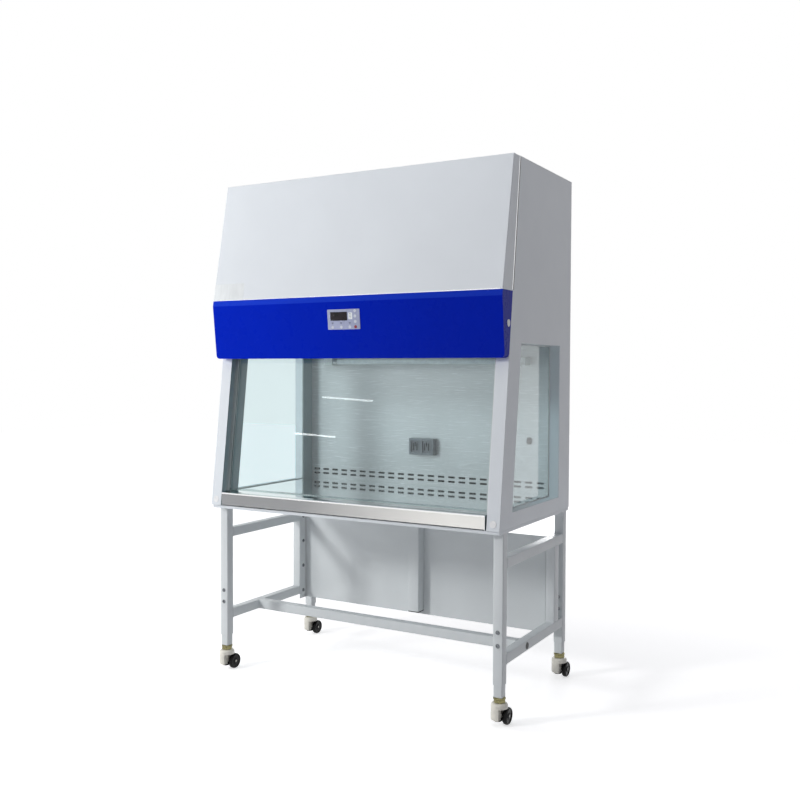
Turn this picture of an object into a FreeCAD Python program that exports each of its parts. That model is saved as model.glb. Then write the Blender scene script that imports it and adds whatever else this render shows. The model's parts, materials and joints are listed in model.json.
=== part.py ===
"""Vertical laminar flow cabinet on a wheeled stand, in millimetres.

X runs across the cabinet, Y from the front to the back and Z up. The origin is on the floor, at the middle
of the space that the whole object takes up. Lengths that run back from the front edge of the work surface
are measured from the line called front_y.
"""
import FreeCAD, Part
import math
import os
import re

import Sketcher
from FreeCAD import Placement, Rotation, Vector

# Driving sizes

SIZES = [
    ("cabinet_width", 1300, "outside width over the side walls"),
    ("cabinet_depth", 705, "outside depth at the foot of the side walls"),
    ("wall_width", 50, "width of a hollow side wall"),
    ("wall_height", 1325, "height of a side wall"),
    ("skin", 1.5, "thickness of the folded sheet"),
    ("cover_skin", 2, "thickness of the front covers and of the top cover"),
    ("front_slope", 7, "lean of the front edge and of the sash from upright, in degrees"),
    ("fit_gap", 0.5, "clearance between panels that are fitted beside each other"),
    ("stand_height", 700, "floor to the top of the legs"),
    ("pan_sheet", 2, "thickness of the base pan's plate"),
    ("pan_skirt", 10, "drop of the base pan's skirt below its plate"),
    ("pan_inset", 2, "distance of the base pan inside the cabinet's sides"),
    ("pan_front_inset", 8, "distance of the base pan behind the front edge"),
    ("tray_rise", 55, "base pan to the top of the work surface"),
    ("lip_height", 50, "height of the stainless front lip"),
    ("tray_gap", 5.5, "open joint between the work tray and a side wall"),
    ("window_height", 603, "height of a side window"),
    ("window_front_margin", 106, "front edge of a side wall to its window"),
    ("window_back_margin", 123, "back edge of a side wall to its window"),
    ("glass", 6, "thickness of the side panes and of the sash"),
    ("opening_height", 550, "work surface to the control fascia"),
    ("fascia_height", 237, "height of the control fascia"),
    ("fascia_lean", 6.2, "backward lean of the fascia's face towards its foot, in degrees"),
    ("fascia_bevel", 22, "height of the bevel along the fascia's top"),
    ("fascia_bevel_back", 3.5, "setback of that bevel"),
    ("fascia_round", 15, "radius of the fascia's lower corners"),
    ("nose_y", 12.5, "front edge to the fascia's foremost line"),
    ("head_slope", 10.7, "lean of the head cover from upright, in degrees"),
    ("back_duct", 49, "depth of the air duct behind the chamber"),
    ("rear_fold", 20, "depth of the rear cover's side flanges"),
    ("slot_length", 30, "length of a return air slot"),
    ("slot_height", 6, "height of a return air slot"),
    ("slot_count", 23, "return air slots in a row"),
    ("slot_left_edge", 30, "left side wall to the middle of the first slot"),
    ("slot_right_edge", 59, "right side wall to the middle of the last slot"),
    ("slot_low_rise", 22.5, "work surface to the lower row of slots"),
    ("slot_row_gap", 19, "distance between the two rows of slots"),
    ("tube", 38, "outside size of the stand's square tube"),
    ("tube_wall", 2, "wall of the stand's square tube"),
    ("tube_gap", 0.3, "clearance of an inner leg in its outer tube"),
    ("leg_side_inset", 6, "cabinet side to the outside of a leg"),
    ("leg_front_inset", 49, "front edge to the front of the front legs"),
    ("leg_back_inset", 11, "back of the cabinet to the back of the back legs"),
    ("outer_leg_z", 148, "floor to the foot of an outer leg tube"),
    ("inner_leg_z", 104, "floor to the foot of an inner leg"),
    ("inner_leg_length", 280, "length of an inner leg"),
    ("leg_plate", 6, "thickness of the plate in the foot of an inner leg"),
    ("upper_rail_drop", 102, "top of the legs down to the top of the upper side rails"),
    ("lower_rail_z", 216, "floor to the underside of the lower side rails"),
    ("beam_y", 259, "front edge to the front of the lower beam"),
    ("beam_plate", 4, "thickness of the lower beam's end plates"),
    ("post_gap", 46, "back of the rail posts to the back legs"),
    ("post_depth", 50, "depth of a rail post"),
    ("panel_z", 196, "floor to the foot of the stand's back panel"),
    ("panel_height", 394, "height of the stand's back panel"),
    ("stiffener", 50, "outside size of the panel's centre stiffener"),
    ("plug_flange", 4, "thickness of the stiffener's end plug below the tube"),
    ("plug_depth", 12, "depth of the stiffener's end plug inside the tube"),
    ("bolt_radius", 4, "radius of the stand bolts' shanks"),
    ("bolt_hole_gap", 0.3, "radial clearance of the stand bolts in their holes"),
    ("bolt_length", 16, "length of a stand bolt below its head"),
    ("bolt_head_radius", 8, "radius of a stand bolt's head"),
    ("bolt_head", 5, "height of a stand bolt's head"),
    ("bolt_head_round", 0.7, "share of a bolt head's height that is rounded"),
    ("leg_bolt_z", 289, "floor to the lower bolt of a leg"),
    ("leg_bolt_pitch", 48, "distance between the two bolts of a leg"),
    ("panel_bolt_z", 232, "floor to the lowest bolt of the stand's back panel"),
    ("panel_bolt_pitch", 116, "distance between the bolts of the stand's back panel"),
    ("access_radius", 11, "radius of the access hole in a lower side rail"),
    ("cap_flange_radius", 13, "radius of the small round caps"),
    ("cap_flange", 1.5, "thickness of the small round caps"),
    ("stem_radius", 6, "radius of a caster's stem"),
    ("nut_flats", 46, "size across flats of a caster's hex collar"),
    ("nut_height", 20, "height of a caster's hex collar"),
    ("stem_grip", 30, "length of a caster's stem above its collar"),
    ("housing_radius", 31, "radius of a caster's housing"),
    ("housing_z", 24, "floor to the foot of a caster's housing"),
    ("wheel_radius", 31, "radius of a caster's wheel"),
    ("wheel_width", 20, "width of a caster's wheel"),
    ("wheel_shoulder", 2.4, "bevel of a wheel's shoulders"),
    ("hub_radius", 10.8, "radius of the flat end of a wheel's hub"),
    ("web_radius", 13, "inner radius of a wheel's dished web"),
    ("web_edge_radius", 21, "outer radius of that web"),
    ("rim_radius", 23.2, "inner radius of the flat side of a wheel's rim"),
    ("web_depth", 2, "depth of a wheel's web below its rim"),
    ("wheel_gap", 1.5, "clearance between a wheel and its housing"),
    ("wheel_roof_gap", 3, "clearance above a wheel"),
    ("caster_trail", 23, "swivel axis to the wheel's axle, backwards"),
    ("axle_radius", 5, "radius of a caster's axle"),
    ("running_gap", 0.06, "radial clearance of turning and sliding pins"),
    ("cheek_margin", 4, "depth of a housing's cheek behind the axle"),
    ("axle_grip", 8, "length of the axle inside the housing, from the swivel axis"),
    ("axle_end", 1, "end of the axle inside the wheel's outer face"),
    ("rivet_height", 5, "height of the rivet head under a caster's stem"),
    ("rivet_radius", 10, "radius of that rivet head"),
    ("dome_round", 10, "rounding of a housing's top edge"),
    ("pad_web", 10, "thickness of the web that holds a levelling foot's screw"),
    ("swivel_gap", 0.3, "clearance between a caster's housing and its collar"),
    ("pad_radius", 16, "radius of a levelling foot's pad"),
    ("pad_offset", 6, "swivel axis to a levelling foot's axis, away from the wheel"),
    ("pad_z", 16, "floor to the underside of a raised levelling foot"),
    ("pad_height", 12, "height of a levelling foot's pad"),
    ("pad_screw_radius", 5, "radius of a levelling foot's screw"),
    ("pad_screw", 30, "length of a levelling foot's screw"),
    ("pad_gap", 1.5, "radial clearance of a levelling foot's pad in its housing"),
    ("pad_roof_gap", 4, "clearance above a raised levelling foot's pad"),
    ("sash_offset", 28, "front edge to the sash, square to its slope"),
    ("sash_length", 600, "height of the sash's pane along its slope"),
    ("sash_rail_height", 12, "height of the rail on the sash's lower edge"),
    ("sash_rail_depth", 12, "depth of that rail"),
    ("rest_gap", 2.5, "work surface to the closed sash and to the guides above it"),
    ("sash_groove_rise", 4, "foot of the rail to the foot of the pane"),
    ("guide_width", 14, "width of a sash guide across the cabinet"),
    ("guide_depth", 16, "depth of a sash guide"),
    ("guide_length", 1240, "length of a sash guide along its slope"),
    ("guide_groove", 12, "depth of a sash guide's groove"),
    ("groove_gap", 0.4, "clearance on each face of the sash in its groove"),
    ("ceiling_rise", 643, "work surface to the underside of the plenum"),
    ("plenum_height", 160, "height of the plenum box"),
    ("plenum_y", 150, "front edge to the front of the plenum box"),
    ("plenum_ledge", 24, "width of the ledge that carries the filter"),
    ("filter_height", 69, "height of the filter"),
    ("filter_frame", 16, "width of the filter's frame"),
    ("media_inset", 4, "face of the filter's frame to its pleated pack"),
    ("filter_gap", 6, "clearance of the filter inside the plenum box"),
    ("screen_sheet", 2, "thickness of the diffuser screen"),
    ("screen_slots", 24, "slots in the diffuser screen"),
    ("screen_margin", 12, "edge of the diffuser screen to its slots"),
    ("screen_open", 0.4, "width of a screen slot as a share of the slots' pitch"),
    ("blower_radius", 150, "outside radius of the blower housing"),
    ("scroll_gap", 10, "blower's drum to the plenum box below it"),
    ("blower_width", 220, "width of the blower housing"),
    ("blower_back", 275, "back of the cabinet to the blower's axis"),
    ("inlet_rim", 60, "width of the blower housing's sides round their inlets"),
    ("outlet_inset", 60, "front and back of the blower's drum to its outlet"),
    ("drum_gap", 32, "impeller to the outside of its housing"),
    ("drum_width", 190, "width of the impeller"),
    ("blade_count", 24, "blades of the impeller"),
    ("blade_depth", 22, "radial depth of an impeller blade"),
    ("blade_sheet", 2, "thickness of an impeller blade"),
    ("blade_lean", 25, "lean of an impeller blade from its radius, in degrees"),
    ("blade_bite", 1, "depth of a blade's ends in the impeller's rims"),
    ("drum_disc", 6, "thickness of the impeller's centre disc"),
    ("drum_rim", 8, "width of the impeller's rims"),
    ("shaft_radius", 8, "radius of the blower's shaft"),
    ("motor_radius", 62, "radius of the blower's motor"),
    ("motor_length", 130, "length of the blower's motor"),
    ("pedestal_inset", 15, "end of the motor to its pedestal"),
    ("motor_gap", 25, "clearance between the blower housing and its motor"),
    ("prefilter_width", 420, "width of the prefilter under the top cover"),
    ("prefilter_depth", 320, "depth of the prefilter"),
    ("prefilter_height", 22, "height of the prefilter"),
    ("prefilter_back", 40, "back of the cabinet to the back of the prefilter"),
    ("intake_margin", 20, "prefilter's edge to the intake opening"),
    ("plate_width", 146, "width of the control plate"),
    ("plate_height", 77, "height of the control plate"),
    ("plate_thickness", 2, "thickness of the control plate"),
    ("plate_x", -7.5, "middle of the cabinet to the middle of the control plate"),
    ("plate_rise", 149, "foot of the fascia up to the middle of the control plate, along its face"),
    ("window_width", 76, "width of the display window"),
    ("window_tall", 33, "height of the display window"),
    ("window_x", -21, "middle of the control plate to the middle of the display window"),
    ("window_rise", 12, "middle of the control plate up to the middle of the display window"),
    ("key_radius", 6, "radius of a key"),
    ("key_proud", 1.2, "height of a key above the control plate"),
    ("key_travel", 0.6, "travel of a key"),
    ("key_tail", 1, "length of a key behind the fascia, past its travel"),
    ("column_x", 53, "middle of the control plate to the column of keys"),
    ("column_rise", 32, "middle of the control plate up to the top key of the column"),
    ("column_pitch", 20.4, "distance between the keys of the column"),
    ("row_x", -50.5, "middle of the control plate to the first key of the row"),
    ("row_pitch", 39, "distance between the keys of the row"),
    ("box_depth", 42, "depth of the controller's box"),
    ("lamp_radius", 13, "radius of the ultraviolet tube"),
    ("lamp_length", 895, "length of the ultraviolet tube"),
    ("lamp_standoff", 40, "back wall to the axis of the ultraviolet tube"),
    ("lamp_drop", 100, "ceiling down to the axis of the ultraviolet tube"),
    ("holder_width", 46, "width of a lamp holder"),
    ("holder_height", 33, "height of a lamp holder"),
    ("holder_lip", 4, "wall of a lamp holder in front of the tube"),
    ("light_inset", 40, "side wall to the end of the chamber light"),
    ("light_size", 26, "depth and height of the chamber light"),
    ("light_lead", 4, "front of the plenum box to the front of the chamber light"),
    ("socket_width", 120, "width of the power socket"),
    ("socket_height", 72, "height of the power socket"),
    ("socket_depth", 32, "depth of the power socket"),
    ("socket_x", 2.5, "middle of the cabinet to the middle of the socket"),
    ("socket_rise", 170.5, "work surface to the middle of the socket"),
    ("recess", 6, "depth of the socket's recesses"),
    ("socket_margin", 8, "side of the socket to its recesses"),
    ("socket_rim", 12, "top and foot of the socket to its recesses"),
    ("recess_gap", 12, "distance between the socket's recesses"),
    ("plug_inset", 108, "side wall to the chamber wall's plug"),
    ("plug_rise", 215, "work surface to the chamber wall's plug"),
    ("plug_radius", 9, "radius of the chamber wall's plug"),
    ("plug_stretch", 11, "extra height of that plug"),
    ("plug_stand", 10, "depth of that plug"),
    ("cap_rise", 30, "work surface down to the caps on the front posts, along the slope"),
    ("cap_post_x", 25, "cabinet side to the caps on the front posts"),
    ("side_cap_rise", 122, "foot of the fascia to the caps on its sides"),
    ("side_cap_back", 22, "front edge of the side wall to the middle of those caps"),
    ("gland_radius", 11, "radius of the mains cable gland"),
    ("gland_length", 24, "length of the gland outside the rear cover"),
    ("gland_grip", 8, "length of the gland inside the rear cover"),
    ("gland_thread_radius", 7.7, "radius of the gland's thread"),
    ("cable_radius", 4.4, "radius of the gland's bore"),
    ("gland_inset", 170, "left side of the cabinet to the gland"),
    ("gland_drop", 175, "top of the side walls to the gland"),
]

# Lengths worked out from the driving sizes

FORMULAS = {
    "half_width": "cabinet_width / 2",
    "inner_x": "half_width - wall_width",
    "stand_depth": "cabinet_depth - leg_front_inset - leg_back_inset",
    "front_y": "-(leg_front_inset + stand_depth - tube / 2 + caster_trail + wheel_radius) / 2",
    "body_z": "stand_height + pan_sheet",
    "worktop_z": "body_z + tray_rise",
    "wall_top_z": "body_z + wall_height",
    "top_z": "wall_top_z + cover_skin",
    "window_top_z": "worktop_z + window_height",
    "fascia_z": "worktop_z + opening_height",
    "fascia_top_z": "fascia_z + fascia_height",
    "nose_z": "fascia_top_z - fascia_bevel",
    "fascia_foot_y": "nose_y + (nose_z - fascia_z) * tan(fascia_lean)",
    "head_foot_y": "nose_y + fascia_bevel_back",
    "head_foot_z": "fascia_top_z",
    "ceiling_z": "worktop_z + ceiling_rise",
    "deck_z": "ceiling_z + plenum_height",
    "back_wall_y": "cabinet_depth - cover_skin - back_duct - cover_skin",
    "leg_x": "half_width - leg_side_inset",
    "leg_mid_x": "leg_x - tube / 2",
    "rail_x": "leg_x - tube",
    "front_leg_mid_y": "leg_front_inset + tube / 2",
    "back_leg_y": "leg_front_inset + stand_depth - tube",
    "post_y": "back_leg_y - post_gap - post_depth",
    "back_leg_mid_y": "back_leg_y + tube / 2",
    "upper_rail_z": "stand_height - upper_rail_drop - tube",
    "bore": "tube - 2 * tube_wall",
    "inner_leg": "bore - 2 * tube_gap",
    "bolt_hole": "bolt_radius + bolt_hole_gap",
    "panel_y": "post_y + post_depth + fit_gap",
    "panel_bolt_y": "post_y + post_depth / 2",
    "beam_mid_y": "beam_y + tube / 2",
    "beam_mid_z": "lower_rail_z + tube / 2",
    "collar_z": "inner_leg_z - nut_height",
    "housing_top_z": "collar_z - swivel_gap",
    "roof_z": "wheel_radius * 2 + wheel_roof_gap",
    "wheel_x": "housing_radius - wheel_width",
    "cheek_x": "wheel_x - wheel_gap",
    "stem_foot_z": "roof_z - rivet_height",
    "pad_web_z": "pad_z + pad_height + pad_roof_gap",
    "pad_web_top_z": "pad_web_z + pad_web",
    "cheek_depth": "caster_trail + axle_radius + cheek_margin",
    "blower_y": "cabinet_depth - blower_back",
    "blower_rise": "blower_radius + scroll_gap",
    "blower_z": "deck_z + blower_rise",
    "inlet_radius": "blower_radius - inlet_rim",
    "outlet_depth": "2 * (blower_radius - outlet_inset)",
    "drum_radius": "blower_radius - drum_gap",
    "prefilter_y": "cabinet_depth - prefilter_back - prefilter_depth",
    "lamp_y": "back_wall_y - lamp_standoff",
    "lamp_z": "ceiling_z - lamp_drop",
    "sash_clear": "(sash_offset + sash_rail_depth) * tan(front_slope) + rest_gap",
    "guide_clear": "(sash_offset + guide_depth) * tan(front_slope) + rest_gap",
    "key_top": "plate_thickness + key_proud",
    "key_length": "key_top + cover_skin + key_travel + key_tail",
    "slot_first_x": "inner_x - slot_left_edge",
    "slot_pitch": "(2 * inner_x - slot_left_edge - slot_right_edge) / (slot_count - 1)",
    "light_length": "2 * (inner_x - light_inset)",
    "plug_x": "inner_x - plug_inset",
    "gland_x": "-(half_width - gland_inset)",
    "socket_z": "worktop_z + socket_rise",
    "recess_width": "(socket_width - 2 * socket_margin - recess_gap) / 2",
    "gland_z": "wall_top_z - gland_drop",
    "rear_gap": "rear_fold + fit_gap",
}

doc = FreeCAD.newDocument("laminar_flow_cabinet")
sheet = doc.addObject("Spreadsheet::Sheet", "Sizes")
for row, (alias, number, meaning) in enumerate(SIZES, start=1):
    sheet.set("A%d" % row, meaning)
    sheet.set("B%d" % row, str(number))
    sheet.setAlias("B%d" % row, alias)
doc.recompute()

ALIASES = {alias for alias, _, _ in SIZES}
LEFT = -1
RIGHT = 1
SIDES = {"left": LEFT, "right": RIGHT}
nodes = []


# Expressions

def bound(text):
    """The text with each named length replaced by its formula and each size by its cell in the sheet."""
    def swap(match):
        word = match.group(0)
        if word in FORMULAS:
            return "(" + bound(FORMULAS[word]) + ")"
        if word in ALIASES:
            return "Sizes." + word
        return word
    return re.sub(r"[a-z][a-z_0-9]*", swap, str(text))


def value(text):
    """The number that the text stands for now."""
    return float(sheet.evalExpression(bound(text)))


def tie(thing, path, text):
    """Bind one property to the sheet."""
    thing.setExpression(path, bound(text))


def front_line(height):
    """Distance of the sloping front edge behind the foot's front edge, at a height above the floor."""
    return "((%s) - body_z) * tan(front_slope)" % height


# Solids

def node(thing, name):
    """Count the object as a finished piece under its own name."""
    thing.Label = name
    nodes.append(thing)
    return thing


def set_base(thing, x, y, z):
    tie(thing, "Placement.Base.x", x)
    tie(thing, "Placement.Base.y", "front_y + (%s)" % y)
    tie(thing, "Placement.Base.z", z)


def box(name, corner, size):
    """An upright box from its lowest corner and its three lengths."""
    thing = doc.addObject("Part::Box", name)
    for path, length in zip(("Length", "Width", "Height"), size):
        tie(thing, path, length)
    set_base(thing, *corner)
    return thing


AXIS_TURNS = {
    "x": Rotation(Vector(0, 1, 0), 90),
    "-x": Rotation(Vector(0, 1, 0), -90),
    "y": Rotation(Vector(1, 0, 0), -90),
    "-y": Rotation(Vector(1, 0, 0), 90),
    "z": Rotation(),
}


def cylinder(name, start, axis, radius, length):
    """A cylinder from the middle of its first end, along one of the axes."""
    thing = doc.addObject("Part::Cylinder", name)
    thing.Placement = Placement(Vector(), AXIS_TURNS[axis])
    tie(thing, "Radius", radius)
    tie(thing, "Height", length)
    set_base(thing, *start)
    return thing


def join(name, pieces):
    thing = doc.addObject("Part::MultiFuse", name)
    thing.Shapes = pieces
    return thing


def cut(name, base, tools):
    thing = doc.addObject("Part::Cut", name)
    thing.Base = base
    thing.Tool = tools[0] if len(tools) == 1 else join(name + "_tools", tools)
    return thing


def group(name, pieces):
    """Separate solids that share one node."""
    thing = doc.addObject("Part::Compound", name)
    thing.Links = pieces
    return thing


def outline(body, name, plane, corners):
    """A closed outline of straight edges on one of the body's planes, each corner tied to the sheet."""
    sketch = body.newObject("Sketcher::SketchObject", name)
    support = next(item for item in body.Origin.OriginFeatures if item.Role == plane)
    sketch.AttachmentSupport = [(support, "")]
    sketch.MapMode = "FlatFace"
    add_loop(sketch, corners)
    return sketch


def add_loop(sketch, corners):
    """One more closed loop of straight edges in a sketch."""
    first = sketch.GeometryCount
    count = len(corners)
    points = [Vector(value(across), value(up), 0) for across, up in corners]
    for index, point in enumerate(points):
        sketch.addGeometry(Part.LineSegment(point, points[(index + 1) % count]), False)
    for index in range(count):
        following = first + (index + 1) % count
        sketch.addConstraint(Sketcher.Constraint("Coincident", first + index, 2, following, 1))
    for index, corner in enumerate(corners):
        for kind, text, number in zip(("DistanceX", "DistanceY"), corner, points[index]):
            key = sketch.addConstraint(Sketcher.Constraint(kind, -1, 1, first + index, 1, number))
            tie(sketch, "Constraints[%d]" % key, text)


def prism(name, plane, corners, length, holes=()):
    """A body with one padded outline, and with any holes in that outline."""
    body = doc.addObject("PartDesign::Body", name)
    sketch = outline(body, name + "_outline", plane, corners)
    for hole in holes:
        add_loop(sketch, hole)
    pad = body.newObject("PartDesign::Pad", name + "_pad")
    pad.Profile = sketch
    tie(pad, "Length", length)
    doc.recompute()
    return body, pad


def hollow(body, feature, thickness, is_open):
    """Turn a padded body into a sheet shell, open at the faces that the test picks."""
    shell = body.newObject("PartDesign::Thickness", body.Name + "_shell")
    faces = feature.Shape.Faces
    picked = ["Face%d" % (index + 1) for index, face in enumerate(faces) if is_open(face)]
    shell.Base = (feature, picked)
    tie(shell, "Value", thickness)
    shell.Reversed = True
    doc.recompute()
    return shell


def faces_towards(axis):
    """A test for flat faces whose outward side looks along an axis."""
    def test(face):
        return face.normalAt(0, 0).dot(axis) > 0.999
    return test


# Sloping parts: the sash's own frame starts on the front edge, at the height of the work surface

def lean(thing, back, along, x):
    """Put a part at a distance behind the sloping front plane and a distance up along it."""
    tie(thing, "Placement.Base.x", x)
    start = front_line("worktop_z")
    tie(thing, "Placement.Base.y",
        "front_y + %s + (%s) * cos(front_slope) + (%s) * sin(front_slope)" % (start, back, along))
    tie(thing, "Placement.Base.z",
        "worktop_z - (%s) * sin(front_slope) + (%s) * cos(front_slope)" % (back, along))


def leaning_box(name, x, back, along, size):
    thing = doc.addObject("Part::Box", name)
    for path, length in zip(("Length", "Width", "Height"), size):
        tie(thing, path, length)
    thing.Placement = Placement(Vector(), Rotation(Vector(1, 0, 0), -1))
    lean(thing, back, along, x)
    tie(thing, "Placement.Rotation.Angle", "-front_slope")
    return thing


# Parts on the fascia's face: its own frame starts at the middle of the control plate

def on_face(thing, x, depth, rise):
    """Put a part at a depth behind the fascia's face and a rise along it from the control plate's middle."""
    tie(thing, "Placement.Base.x", "plate_x + (%s)" % x)
    up = "(plate_rise + (%s))" % rise
    tie(thing, "Placement.Base.y",
        "front_y + fascia_foot_y - %s * sin(fascia_lean) + (%s) * cos(fascia_lean)" % (up, depth))
    tie(thing, "Placement.Base.z",
        "fascia_z + %s * cos(fascia_lean) + (%s) * sin(fascia_lean)" % (up, depth))


def face_box(name, x, depth, rise, size):
    thing = doc.addObject("Part::Box", name)
    for path, length in zip(("Length", "Width", "Height"), size):
        tie(thing, path, length)
    thing.Placement = Placement(Vector(), Rotation(Vector(1, 0, 0), 1))
    on_face(thing, x, depth, rise)
    tie(thing, "Placement.Rotation.Angle", "fascia_lean")
    return thing


def face_pin(name, x, depth, rise, radius, length):
    """A round pin that runs straight into the fascia's face."""
    thing = doc.addObject("Part::Cylinder", name)
    tie(thing, "Radius", radius)
    tie(thing, "Height", length)
    thing.Placement = Placement(Vector(), Rotation(Vector(1, 0, 0), -80))
    on_face(thing, x, depth, rise)
    tie(thing, "Placement.Rotation.Angle", "fascia_lean - 90")
    return thing


# Stand

def tube_box(name, corner, size, axis):
    """The outside and the inside of a square tube along an axis, as two boxes."""
    outside = box(name + "_outside", corner, size)
    inner_corner = []
    inner_size = []
    for letter, start, length in zip("xyz", corner, size):
        along = letter == axis
        inner_corner.append(start if along else "(%s) + tube_wall" % start)
        inner_size.append(length if along else "(%s) - 2 * tube_wall" % length)
    return outside, box(name + "_inside", inner_corner, inner_size)


def side_frame(side, sign):
    """Front and back leg tubes, two side rails and the post that carries the back panel, welded."""
    name = "side_frame_" + side
    low_x = "rail_x" if sign > 0 else "-leg_x"
    leg_height = "stand_height - outer_leg_z"
    front = tube_box(name + "_front_leg", (low_x, "leg_front_inset", "outer_leg_z"),
                     ("tube", "tube", leg_height), "z")
    back = tube_box(name + "_back_leg", (low_x, "back_leg_y", "outer_leg_z"),
                    ("tube", "tube", leg_height), "z")
    outsides = [front[0], back[0]]
    insides = [front[1], back[1]]
    rail_start = "leg_front_inset + tube"
    vent = "tube_wall + 1"
    for place, rail_z in (("upper", "upper_rail_z"), ("lower", "lower_rail_z")):
        outsides.append(box("%s_%s_rail" % (name, place), (low_x, rail_start, rail_z),
                            ("tube", "stand_depth - 2 * tube", "tube")))
        insides.append(box("%s_%s_rail_bore" % (name, place),
                           ("%s + tube_wall" % low_x, "%s - (%s)" % (rail_start, vent),
                            "%s + tube_wall" % rail_z),
                           ("bore", "stand_depth - 2 * tube + 2 * (%s)" % vent, "bore")))
    post_z = "lower_rail_z + tube"
    post_height = "upper_rail_z - lower_rail_z - tube"
    outsides.append(box(name + "_post", (low_x, "post_y", post_z), ("tube", "post_depth", post_height)))
    insides.append(box(name + "_post_bore",
                       ("%s + tube_wall" % low_x, "post_y + tube_wall", "%s - (%s)" % (post_z, vent)),
                       ("bore", "post_depth - 2 * tube_wall", "%s + 2 * (%s)" % (post_height, vent))))
    holes = leg_holes(name, sign) + panel_holes(name, sign) + beam_holes(name, sign)
    return node(cut(name, join(name + "_tubes", outsides), insides + holes), name)


def leg_holes(name, sign):
    """Bolt holes in the front faces of both legs."""
    holes = []
    for place, leg_y in (("front", "leg_front_inset"), ("back", "back_leg_y")):
        for step in range(2):
            holes.append(cylinder("%s_%s_hole%d" % (name, place, step),
                                  ("%d * leg_mid_x" % sign, "(%s) - 1" % leg_y,
                                   "leg_bolt_z + %d * leg_bolt_pitch" % step),
                                  "y", "bolt_hole", "tube_wall + 2"))
    return holes


PANEL_BOLTS = 4


def panel_holes(name, sign):
    """Bolt holes for the back panel, in the inner faces of the rails and the post."""
    start = "rail_x - 1" if sign > 0 else "-rail_x - tube_wall - 1"
    return [cylinder("%s_panel_hole%d" % (name, step),
                     (start, "panel_bolt_y", "panel_bolt_z + %d * panel_bolt_pitch" % step),
                     "x", "bolt_hole", "tube_wall + 2") for step in range(PANEL_BOLTS)]


def beam_holes(name, sign):
    """The lower beam's bolt hole in the rail's inner face and the access hole in its outer face."""
    inner = "rail_x - 1" if sign > 0 else "-rail_x - tube_wall - 1"
    outer = "leg_x - tube_wall - 1" if sign > 0 else "-leg_x - 1"
    return [cylinder(name + "_beam_hole", (inner, "beam_mid_y", "beam_mid_z"), "x",
                     "bolt_hole", "tube_wall + 2"),
            cylinder(name + "_access_hole", (outer, "beam_mid_y", "beam_mid_z"), "x", "access_radius",
                     "tube_wall + 2")]


def leg_corners():
    """Each leg's name, with the signed place of its middle."""
    for side, sign in SIDES.items():
        yield "front_" + side, "%d * leg_mid_x" % sign, "front_leg_mid_y"
        yield "back_" + side, "%d * leg_mid_x" % sign, "back_leg_mid_y"


def inner_legs():
    """Four telescopic inner tubes with a welded foot plate, drawn by their bolts to the front of the legs."""
    legs = []
    for corner, mid_x, mid_y in leg_corners():
        name = "inner_leg_" + corner
        low_x = "%s - inner_leg / 2" % mid_x
        low_y = "%s - inner_leg / 2 - tube_gap" % mid_y
        outside = box(name + "_outside", (low_x, low_y, "inner_leg_z"),
                      ("inner_leg", "inner_leg", "inner_leg_length"))
        inside = box(name + "_inside",
                     ("%s + tube_wall" % low_x, "%s + tube_wall" % low_y, "inner_leg_z + leg_plate"),
                     ("inner_leg - 2 * tube_wall", "inner_leg - 2 * tube_wall", "inner_leg_length"))
        bore = cylinder(name + "_stem_hole", (mid_x, mid_y, "inner_leg_z - 1"), "z",
                        "stem_radius + running_gap",
                        "leg_plate + 2")
        holes = [cylinder("%s_hole%d" % (name, step),
                          (mid_x, "%s - 1" % low_y, "leg_bolt_z + %d * leg_bolt_pitch" % step),
                          "y", "bolt_hole", "tube_wall + 2") for step in range(2)]
        legs.append(cut(name, outside, [inside, bore] + holes))
    return node(group("inner_legs", legs), "inner_legs")


def lower_beam():
    """Square tube between the lower side rails, closed by plates that take its bolts."""
    outside = box("lower_beam_outside", ("-rail_x", "beam_y", "lower_rail_z"), ("2 * rail_x", "tube", "tube"))
    inside = box("lower_beam_inside",
                 ("-rail_x + beam_plate", "beam_y + tube_wall", "lower_rail_z + tube_wall"),
                 ("2 * (rail_x - beam_plate)", "bore", "bore"))
    hole = cylinder("lower_beam_hole", ("-rail_x - 1", "beam_mid_y", "beam_mid_z"), "x", "bolt_hole",
                    "2 * rail_x + 2")
    return node(cut("lower_beam", outside, [inside, hole]), "lower_beam")


def stand_back_panel():
    """Sheet pan between the rail posts, with side flanges folded forward and bolted to them."""
    sheet_box = box("stand_panel_sheet", ("-rail_x", "panel_y", "panel_z"),
                    ("2 * rail_x", "skin", "panel_height"))
    pieces = [sheet_box]
    flange_depth = "panel_y + skin - post_y"
    for side, sign in SIDES.items():
        start = "rail_x - skin" if sign > 0 else "-rail_x"
        pieces.append(box("stand_panel_flange_" + side, (start, "post_y", "panel_z"),
                          ("skin", flange_depth, "panel_height")))
    holes = [cylinder("stand_panel_hole%d" % step,
                      ("-rail_x - 1", "panel_bolt_y", "panel_bolt_z + %d * panel_bolt_pitch" % step),
                      "x", "bolt_hole", "2 * rail_x + 2") for step in range(PANEL_BOLTS)]
    return node(cut("stand_back_panel", join("stand_panel_blank", pieces), holes), "stand_back_panel")


def centre_stiffener():
    """Upright box section in front of the back panel, up to the cabinet's base."""
    corner = ("-stiffener / 2", "panel_y - stiffener", "lower_rail_z")
    outside, inside = tube_box("centre_stiffener", corner,
                               ("stiffener", "stiffener", "stand_height - lower_rail_z"),
                               "z")
    return node(cut("centre_stiffener", outside, [inside]), "centre_stiffener")


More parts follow.
